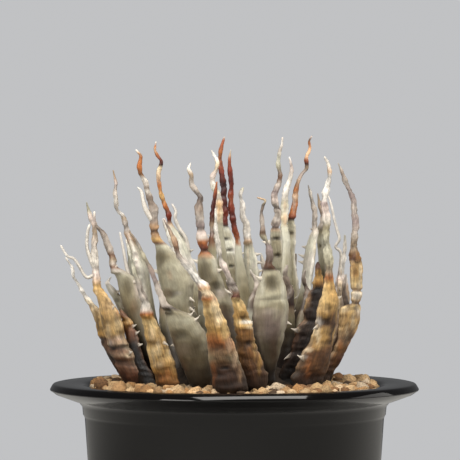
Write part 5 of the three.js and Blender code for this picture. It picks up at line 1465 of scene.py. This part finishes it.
def granule_material(name, scale_mm, plain=None):
    """Crushed grit or fibre, full of open pores, in its own tint or one plain colour."""
    material, shader = new_material(name)
    place = add_node(material, "ShaderNodeTexCoord").outputs["Object"]
    pores = add_node(
        material, "ShaderNodeTexVoronoi", [("Vector", place)], Scale=1000 / scale_mm)
    grain = add_noise(material, place, 1400 / scale_mm, 5)
    pore_shade = stretch(material, pores.outputs["Distance"], 0.1, 0.5, 0.4, 1.15)
    grain_shade = stretch(material, grain, 0.3, 0.7, 0.82, 1.12)
    shade = combine(material, "MULTIPLY", pore_shade, grain_shade)
    painted = add_node(
        material, "ShaderNodeVectorMath", [("Scale", shade)], operation="SCALE")
    if plain is None:
        tint = add_node(material, "ShaderNodeAttribute", attribute_name="tint")
        attach(material, tint.outputs["Color"], painted, 0)
    else:
        painted.inputs[0].default_value = linear(plain)[:3]
    attach(material, painted.outputs["Vector"], shader, "Base Color")
    add_bump(material, shader, pore_shade, 0.7, 0.25)
    shader.inputs["Roughness"].default_value = 0.9
    return material


def spin_profile(name, profile, sides, material, closed):
    """A round piece from a profile of (radius, height) rows in millimetres."""
    bm = bmesh.new()
    verts = [bm.verts.new((radius * MM, 0, height * MM)) for radius, height in profile]
    pairs = list(zip(verts, verts[1:]))
    if closed:
        pairs.append((verts[-1], verts[0]))
    edges = [bm.edges.new(pair) for pair in pairs]
    bmesh.ops.spin(
        bm, geom=verts + edges, cent=(0, 0, 0), axis=(0, 0, 1), angle=2 * math.pi,
        steps=sides, use_merge=True)
    bmesh.ops.remove_doubles(bm, verts=bm.verts, dist=0.001 * MM)
    return finish_mesh(bm, name, material)


def pot_profile():
    """The pot's wall from the drain hole, down round the foot, over the lip and inside."""
    rim = POT_HEIGHT
    floor = FOOT_RING_HEIGHT + FLOOR_THICK
    return [
        (DRAIN_RADIUS, FOOT_RING_HEIGHT), (FOOT_RING_RADIUS, FOOT_RING_HEIGHT),
        (FOOT_RING_RADIUS + 1, 0), (FOOT_RADIUS - 1, 0), (FOOT_RADIUS - 0.4, 0.3),
        (FOOT_RADIUS, 1.2), (59.7, rim - 31.5), (60.9, rim - 14),
        (61.2, rim - 13.1), (COLLAR_RADIUS, rim - 12.6), (COLLAR_RADIUS + 0.3, rim - 9.4),
        (63.2, rim - 7.6), (66, rim - 6.6), (72.6, rim - LIP_THICK - 0.4),
        (LIP_RADIUS - 0.7, rim - 3), (LIP_RADIUS - 0.15, rim - 2.7), (LIP_RADIUS, rim - 2.35),
        (LIP_RADIUS - 0.12, rim - 2.05), (LIP_RADIUS - 0.55, rim - 1.3),
        (LIP_RADIUS - 1, rim - 0.55), (LIP_RADIUS - 1.4, rim - 0.18), (LIP_RADIUS - 2.2, rim),
        (MOUTH_RADIUS + 3.2, rim - 0.2),
        (MOUTH_RADIUS + 1.8, rim - 0.45), (MOUTH_RADIUS + 0.8, rim - 1),
        (MOUTH_RADIUS + 0.2, rim - 1.9), (MOUTH_RADIUS, rim - 3), (61.6 - WALL, rim - 13),
        (FOOT_RADIUS - WALL + 0.6, floor + 2), (FOOT_RADIUS - WALL - 1.6, floor),
        (DRAIN_RADIUS, floor),
    ]


def stem_profile():
    """The stem from its narrow neck in the soil to its blunt top."""
    rim = POT_HEIGHT
    return [
        (0, rim + STEM_BOTTOM), (STEM_NECK * 0.7, rim + STEM_BOTTOM),
        (STEM_NECK, rim + STEM_BOTTOM + 6), (STEM_NECK + 4, rim - 22),
        (STEM_RADIUS - 2, rim - 9), (STEM_RADIUS, rim - 4), (STEM_RADIUS - 1, rim + 1),
        (STEM_RADIUS - 9, rim + STEM_TOP - 4), (STEM_RADIUS - 20, rim + STEM_TOP),
        (0, rim + STEM_TOP),
    ]


GRANULE_PAINTS = (
    "#c09c70", "#a9845a", "#ccb08c", "#9c7448", "#b8a48a", "#bb9a6e", "#a98a62", "#7e5a38",
    "#c4a47a", "#4e3a26",
)
GRAVEL_SEED = 7
# Flat faces broken off each granule, and how deep they cut, as a share of its radius
GRANULE_CHIPS = 7
CHIP_DEPTH = 0.3
# The bed starts under the leaves. Granules may lie as near as a share of their radii, and are
# looked up by cells a little wider than the largest.
BED_INNER_RADIUS = 20
CROWDING = 0.72
CELL = 8
TRIES_EACH = 6
HOLLOW_HALF_WIDTH = 11
HOLLOW_DEPTH = 2.2
HOLLOW_BACK = -40


def granule_chips(draw, radius):
    """The flat faces of a granule: the way each looks and its distance from the centre."""
    chips = []
    for _ in range(GRANULE_CHIPS):
        turned = Vector((draw() - 0.5, draw() - 0.5, draw() - 0.4)).normalized()
        chips.append((turned, radius * MM * (1 - CHIP_DEPTH * draw())))
    return chips


def add_granule(bm, draw, centre, radius):
    """One rough granule with its own colour."""
    tint = bm.verts.layers.float_color["tint"]
    stretched = Matrix.Diagonal((0.8 + 0.45 * draw(), 0.75 + 0.4 * draw(), 0.7 + 0.4 * draw(), 1))
    turn = Matrix.Rotation(draw() * 2 * math.pi, 4, "Z") @ Matrix.Rotation(draw() * 0.7, 4, "X")
    colour = Vector(linear(GRANULE_PAINTS[int(draw() * len(GRANULE_PAINTS))]))
    colour = Vector((*(colour.xyz * (0.6 + 0.45 * draw())), 1))
    place = Matrix.Translation(centre * MM) @ turn @ stretched
    made = bmesh.ops.create_icosphere(bm, subdivisions=2, radius=radius * MM, matrix=place)
    shift = Vector((draw() * 50, draw() * 50, draw() * 50))
    chips = granule_chips(draw, radius)
    for vert in made["verts"]:
        vert[tint] = colour
        offset = vert.co - centre * MM
        for turned, limit in chips:
            offset -= turned * max(0, offset.dot(turned) - limit * 0.9)
        offset *= 1 + 0.3 * noise.noise(offset * 1200 + shift)
        vert.co = centre * MM + offset


def has_room(cells, cell, x, y, radius):
    """Whether a granule lies clear enough of those already in its cell and the next ones."""
    for i in (-1, 0, 1):
        for j in (-1, 0, 1):
            for other_x, other_y, other_radius in cells.get((cell[0] + i, cell[1] + j), ()):
                nearest = (other_radius + radius) * CROWDING
                if math.hypot(other_x - x, other_y - y) <= nearest:
                    return False
    return True


def gravel_places(draw, count, size):
    """Places spread over the bed, the big granules first, kept apart from each other."""
    outer = MOUTH_RADIUS - GAP
    cells = {}
    places = []
    for _ in range(count * TRIES_EACH):
        if len(places) >= count:
            break
        share = len(places) / count
        radius = size * (1.9 - 1.15 * min(1, share * 2.2)) * (0.8 + 0.4 * draw())
        distance = math.sqrt(mix(BED_INNER_RADIUS ** 2, (outer - radius) ** 2, draw()))
        angle = draw() * 2 * math.pi
        x = distance * math.cos(angle)
        y = distance * math.sin(angle)
        cell = (int(x // CELL), int(y // CELL))
        if has_room(cells, cell, x, y, radius):
            cells.setdefault(cell, []).append((x, y, radius))
            places.append((x, y, radius))
    return places


def hollow(x, y):
    """How far the gravel lies lower in front of the two centre leaves, in millimetres."""
    reach = ((x + 1) / HOLLOW_HALF_WIDTH) ** 2
    return HOLLOW_DEPTH * math.exp(-reach * reach) if y < HOLLOW_BACK else 0


class AGAVE_OT_pot(bpy.types.Operator):
    """Spin the glossy pot with its wide flat lip"""

    bl_idname = "agave.make_pot"
    bl_label = "Make Pot"

    def execute(self, context):
        sizes = context.scene.agave_pot
        pot = spin_profile(
            "spun_pot", pot_profile(), sizes.sides, pot_material(sizes), closed=True)
        pot.data.set_sharp_from_angle(angle=math.radians(38))
        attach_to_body(pot, "root")
        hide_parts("pot")
        return {"FINISHED"}


class AGAVE_OT_filling(bpy.types.Operator):
    """Fill the pot with soil mix and loose pumice gravel"""

    bl_idname = "agave.fill_pot"
    bl_label = "Fill Pot"

    def execute(self, context):
        sizes = context.scene.agave_pot
        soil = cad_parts["soil_mix"]
        soil.data.materials.clear()
        # Peat and grit, loose: dark crumbs of about 2 mm
        soil.data.materials.append(granule_material("Gritty Soil Mix", 2, "#6b4c30"))
        bm = bmesh.new()
        bm.verts.layers.float_color.new("tint")
        draw = seeded_random(GRAVEL_SEED)
        top = POT_HEIGHT - GRAVEL_TOP_BELOW_RIM
        for x, y, radius in gravel_places(draw, sizes.granules, sizes.granule_size / MM):
            height = top + radius * (0.1 + 0.45 * draw()) - hollow(x, y)
            add_granule(bm, draw, Vector((x, y, height)), radius)
        # Pumice, crushed: pores of about 0.7 mm
        gravel = finish_mesh(bm, "pumice_gravel", granule_material("Crushed Pumice", 0.7))
        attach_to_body(gravel, "root")
        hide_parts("gravel")
        return {"FINISHED"}


class AGAVE_OT_stem(bpy.types.Operator):
    """Spin the short stem that the leaves clasp"""

    bl_idname = "agave.make_stem"
    bl_label = "Make Stem"

    def execute(self, context):
        # Agave heart, grown: dull fibrous skin between the leaf bases; its brown is darkened to
        # near black, painted shade among the leaves
        material = granule_material("Fibrous Heart", 3, "#2c2117")
        stem = spin_profile("spun_stem", stem_profile(), 64, material, closed=False)
        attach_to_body(stem, "root")
        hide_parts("stem")
        return {"FINISHED"}


class AGAVE_OT_front_leaves(bpy.types.Operator):
    """Grow the leaves whose edges and spines the front shows"""

    bl_idname = "agave.grow_front_leaves"
    bl_label = "Grow Front Leaves"

    def execute(self, context):
        looks = context.scene.agave_leaves
        materials = leaf_materials(looks)
        for seed, leaf in enumerate(LEAVES):
            grow_leaf(leaf, blade_rows(leaf), spine_rows(leaf), seed + 1, materials, looks)
        return {"FINISHED"}


class AGAVE_OT_other_leaves(bpy.types.Operator):
    """Grow the leaves round the back and inside the rosette by rule"""

    bl_idname = "agave.grow_other_leaves"
    bl_label = "Grow Back and Inner Leaves"

    def execute(self, context):
        looks = context.scene.agave_leaves
        materials = leaf_materials(looks)
        tables = (("back", BACK_LEAVES, BACK_SEED), ("inner", INNER_LEAVES, INNER_SEED))
        for where, table, first_seed in tables:
            for index, row in enumerate(table):
                leaf, rows, spine = leaf_by_rule(where, row, index)
                grow_leaf(leaf, rows, spine, first_seed + index, materials, looks)
        return {"FINISHED"}


STAGE_RADIUS = 0.9
BACKGROUND_COLOUR = "#d5d6d8"
LIGHT_TARGET = (0, 0, 0.17)
WARM = (1, 0.97, 0.92)
COOL = (0.93, 0.96, 1)


def lay_floor(looks):
    """A plain round floor under the pot."""
    bm = bmesh.new()
    bmesh.ops.create_circle(bm, cap_ends=True, segments=96, radius=STAGE_RADIUS)
    # Matt paper, plain: no visible grain
    material, shader = new_material("Matt Paper")
    shader.inputs["Base Color"].default_value = looks.floor_colour
    shader.inputs["Roughness"].default_value = 0.9
    finish_mesh(bm, "floor", material)


def light_background(scene, looks):
    """A plain world, brighter to the camera than as a light on the plant."""
    world = bpy.data.worlds.new("Plain Studio")
    world.use_nodes = True
    background = world.node_tree.nodes["Background"]
    background.inputs["Color"].default_value = linear(BACKGROUND_COLOUR)
    seen = world.node_tree.nodes.new("ShaderNodeLightPath")
    strength = world.node_tree.nodes.new("ShaderNodeMapRange")
    strength.inputs["To Min"].default_value = looks.ambience
    strength.inputs["To Max"].default_value = looks.background
    world.node_tree.links.new(seen.outputs["Is Camera Ray"], strength.inputs["Value"])
    world.node_tree.links.new(strength.outputs["Result"], background.inputs["Strength"])
    scene.world = world


def add_softbox(name, place, size, power, colour):
    """A flat light, in metres, that looks at the plant."""
    light = bpy.data.lights.new(name, "AREA")
    light.shape = "RECTANGLE"
    light.size, light.size_y = size
    light.energy = power
    light.color = colour
    lamp = bpy.data.objects.new(name, light)
    lamp.location = place
    aim = Vector(LIGHT_TARGET) - Vector(place)
    lamp.rotation_euler = aim.to_track_quat("-Z", "Y").to_euler()
    bpy.context.scene.collection.objects.link(lamp)


def place_camera(scene):
    """A long lens at the eye that the leaves are written for, level and straight on."""
    data = bpy.data.cameras.new("camera")
    data.lens = LENS
    data.sensor_width = SENSOR
    camera = bpy.data.objects.new("camera", data)
    camera.location = (EYE_X * MM, -EYE_DISTANCE * MM, (POT_HEIGHT + EYE_UP) * MM)
    camera.rotation_euler = (math.radians(90), 0, 0)
    scene.collection.objects.link(camera)
    scene.camera = camera
    scene.view_settings.view_transform = "Standard"


class AGAVE_OT_stage(bpy.types.Operator):
    """Set the floor, the background, the lights and the camera"""

    bl_idname = "agave.set_stage"
    bl_label = "Set Stage"

    def execute(self, context):
        looks = context.scene.agave_stage
        lay_floor(looks)
        light_background(context.scene, looks)
        add_softbox("key", (0.12, -0.46, 0.9), (0.9, 0.3), looks.key_power, WARM)
        add_softbox("side", (0.8, 0.12, 0.3), (0.5, 0.6), looks.side_power, WARM)
        add_softbox("fill", (-0.5, -0.62, 0.62), (0.3, 0.3), looks.fill_power, WARM)
        add_softbox("strip", (-0.6, -0.68, 0.25), (0.02, 0.6), looks.strip_power, COOL)
        place_camera(context.scene)
        return {"FINISHED"}


class AGAVE_PT_panel(bpy.types.Panel):
    """Sizes, looks and steps of the potted agave"""

    bl_label = "Potted Agave"
    bl_space_type = "VIEW_3D"
    bl_region_type = "UI"
    bl_category = "Agave"

    def draw(self, context):
        for group, operators in (
            ("agave_pot", (AGAVE_OT_pot, AGAVE_OT_filling)),
            ("agave_leaves", (AGAVE_OT_stem, AGAVE_OT_front_leaves, AGAVE_OT_other_leaves)),
            ("agave_stage", (AGAVE_OT_stage,)),
        ):
            box = self.layout.box()
            settings = getattr(context.scene, group)
            for key in settings.__annotations__:
                box.prop(settings, key)
            for operator in operators:
                box.operator(operator.bl_idname)


CLASSES = (
    AGAVE_PG_pot, AGAVE_PG_leaves, AGAVE_PG_stage, AGAVE_OT_pot, AGAVE_OT_filling,
    AGAVE_OT_stem, AGAVE_OT_front_leaves, AGAVE_OT_other_leaves, AGAVE_OT_stage,
    AGAVE_PT_panel,
)


def register():
    """Makes the classes and their settings known to Blender."""
    for cls in CLASSES:
        bpy.utils.register_class(cls)
    bpy.types.Scene.agave_pot = PointerProperty(type=AGAVE_PG_pot)
    bpy.types.Scene.agave_leaves = PointerProperty(type=AGAVE_PG_leaves)
    bpy.types.Scene.agave_stage = PointerProperty(type=AGAVE_PG_stage)


def unregister():
    """Takes the settings and the classes away again."""
    del bpy.types.Scene.agave_stage
    del bpy.types.Scene.agave_leaves
    del bpy.types.Scene.agave_pot
    for cls in reversed(CLASSES):
        bpy.utils.unregister_class(cls)


def main():
    """Builds the plant, its pot and its stage."""
    register()
    bpy.ops.agave.make_pot()
    bpy.ops.agave.fill_pot()
    bpy.ops.agave.make_stem()
    bpy.ops.agave.grow_front_leaves()
    bpy.ops.agave.grow_other_leaves()
    bpy.ops.agave.set_stage()


if __name__ == "__main__":
    main()
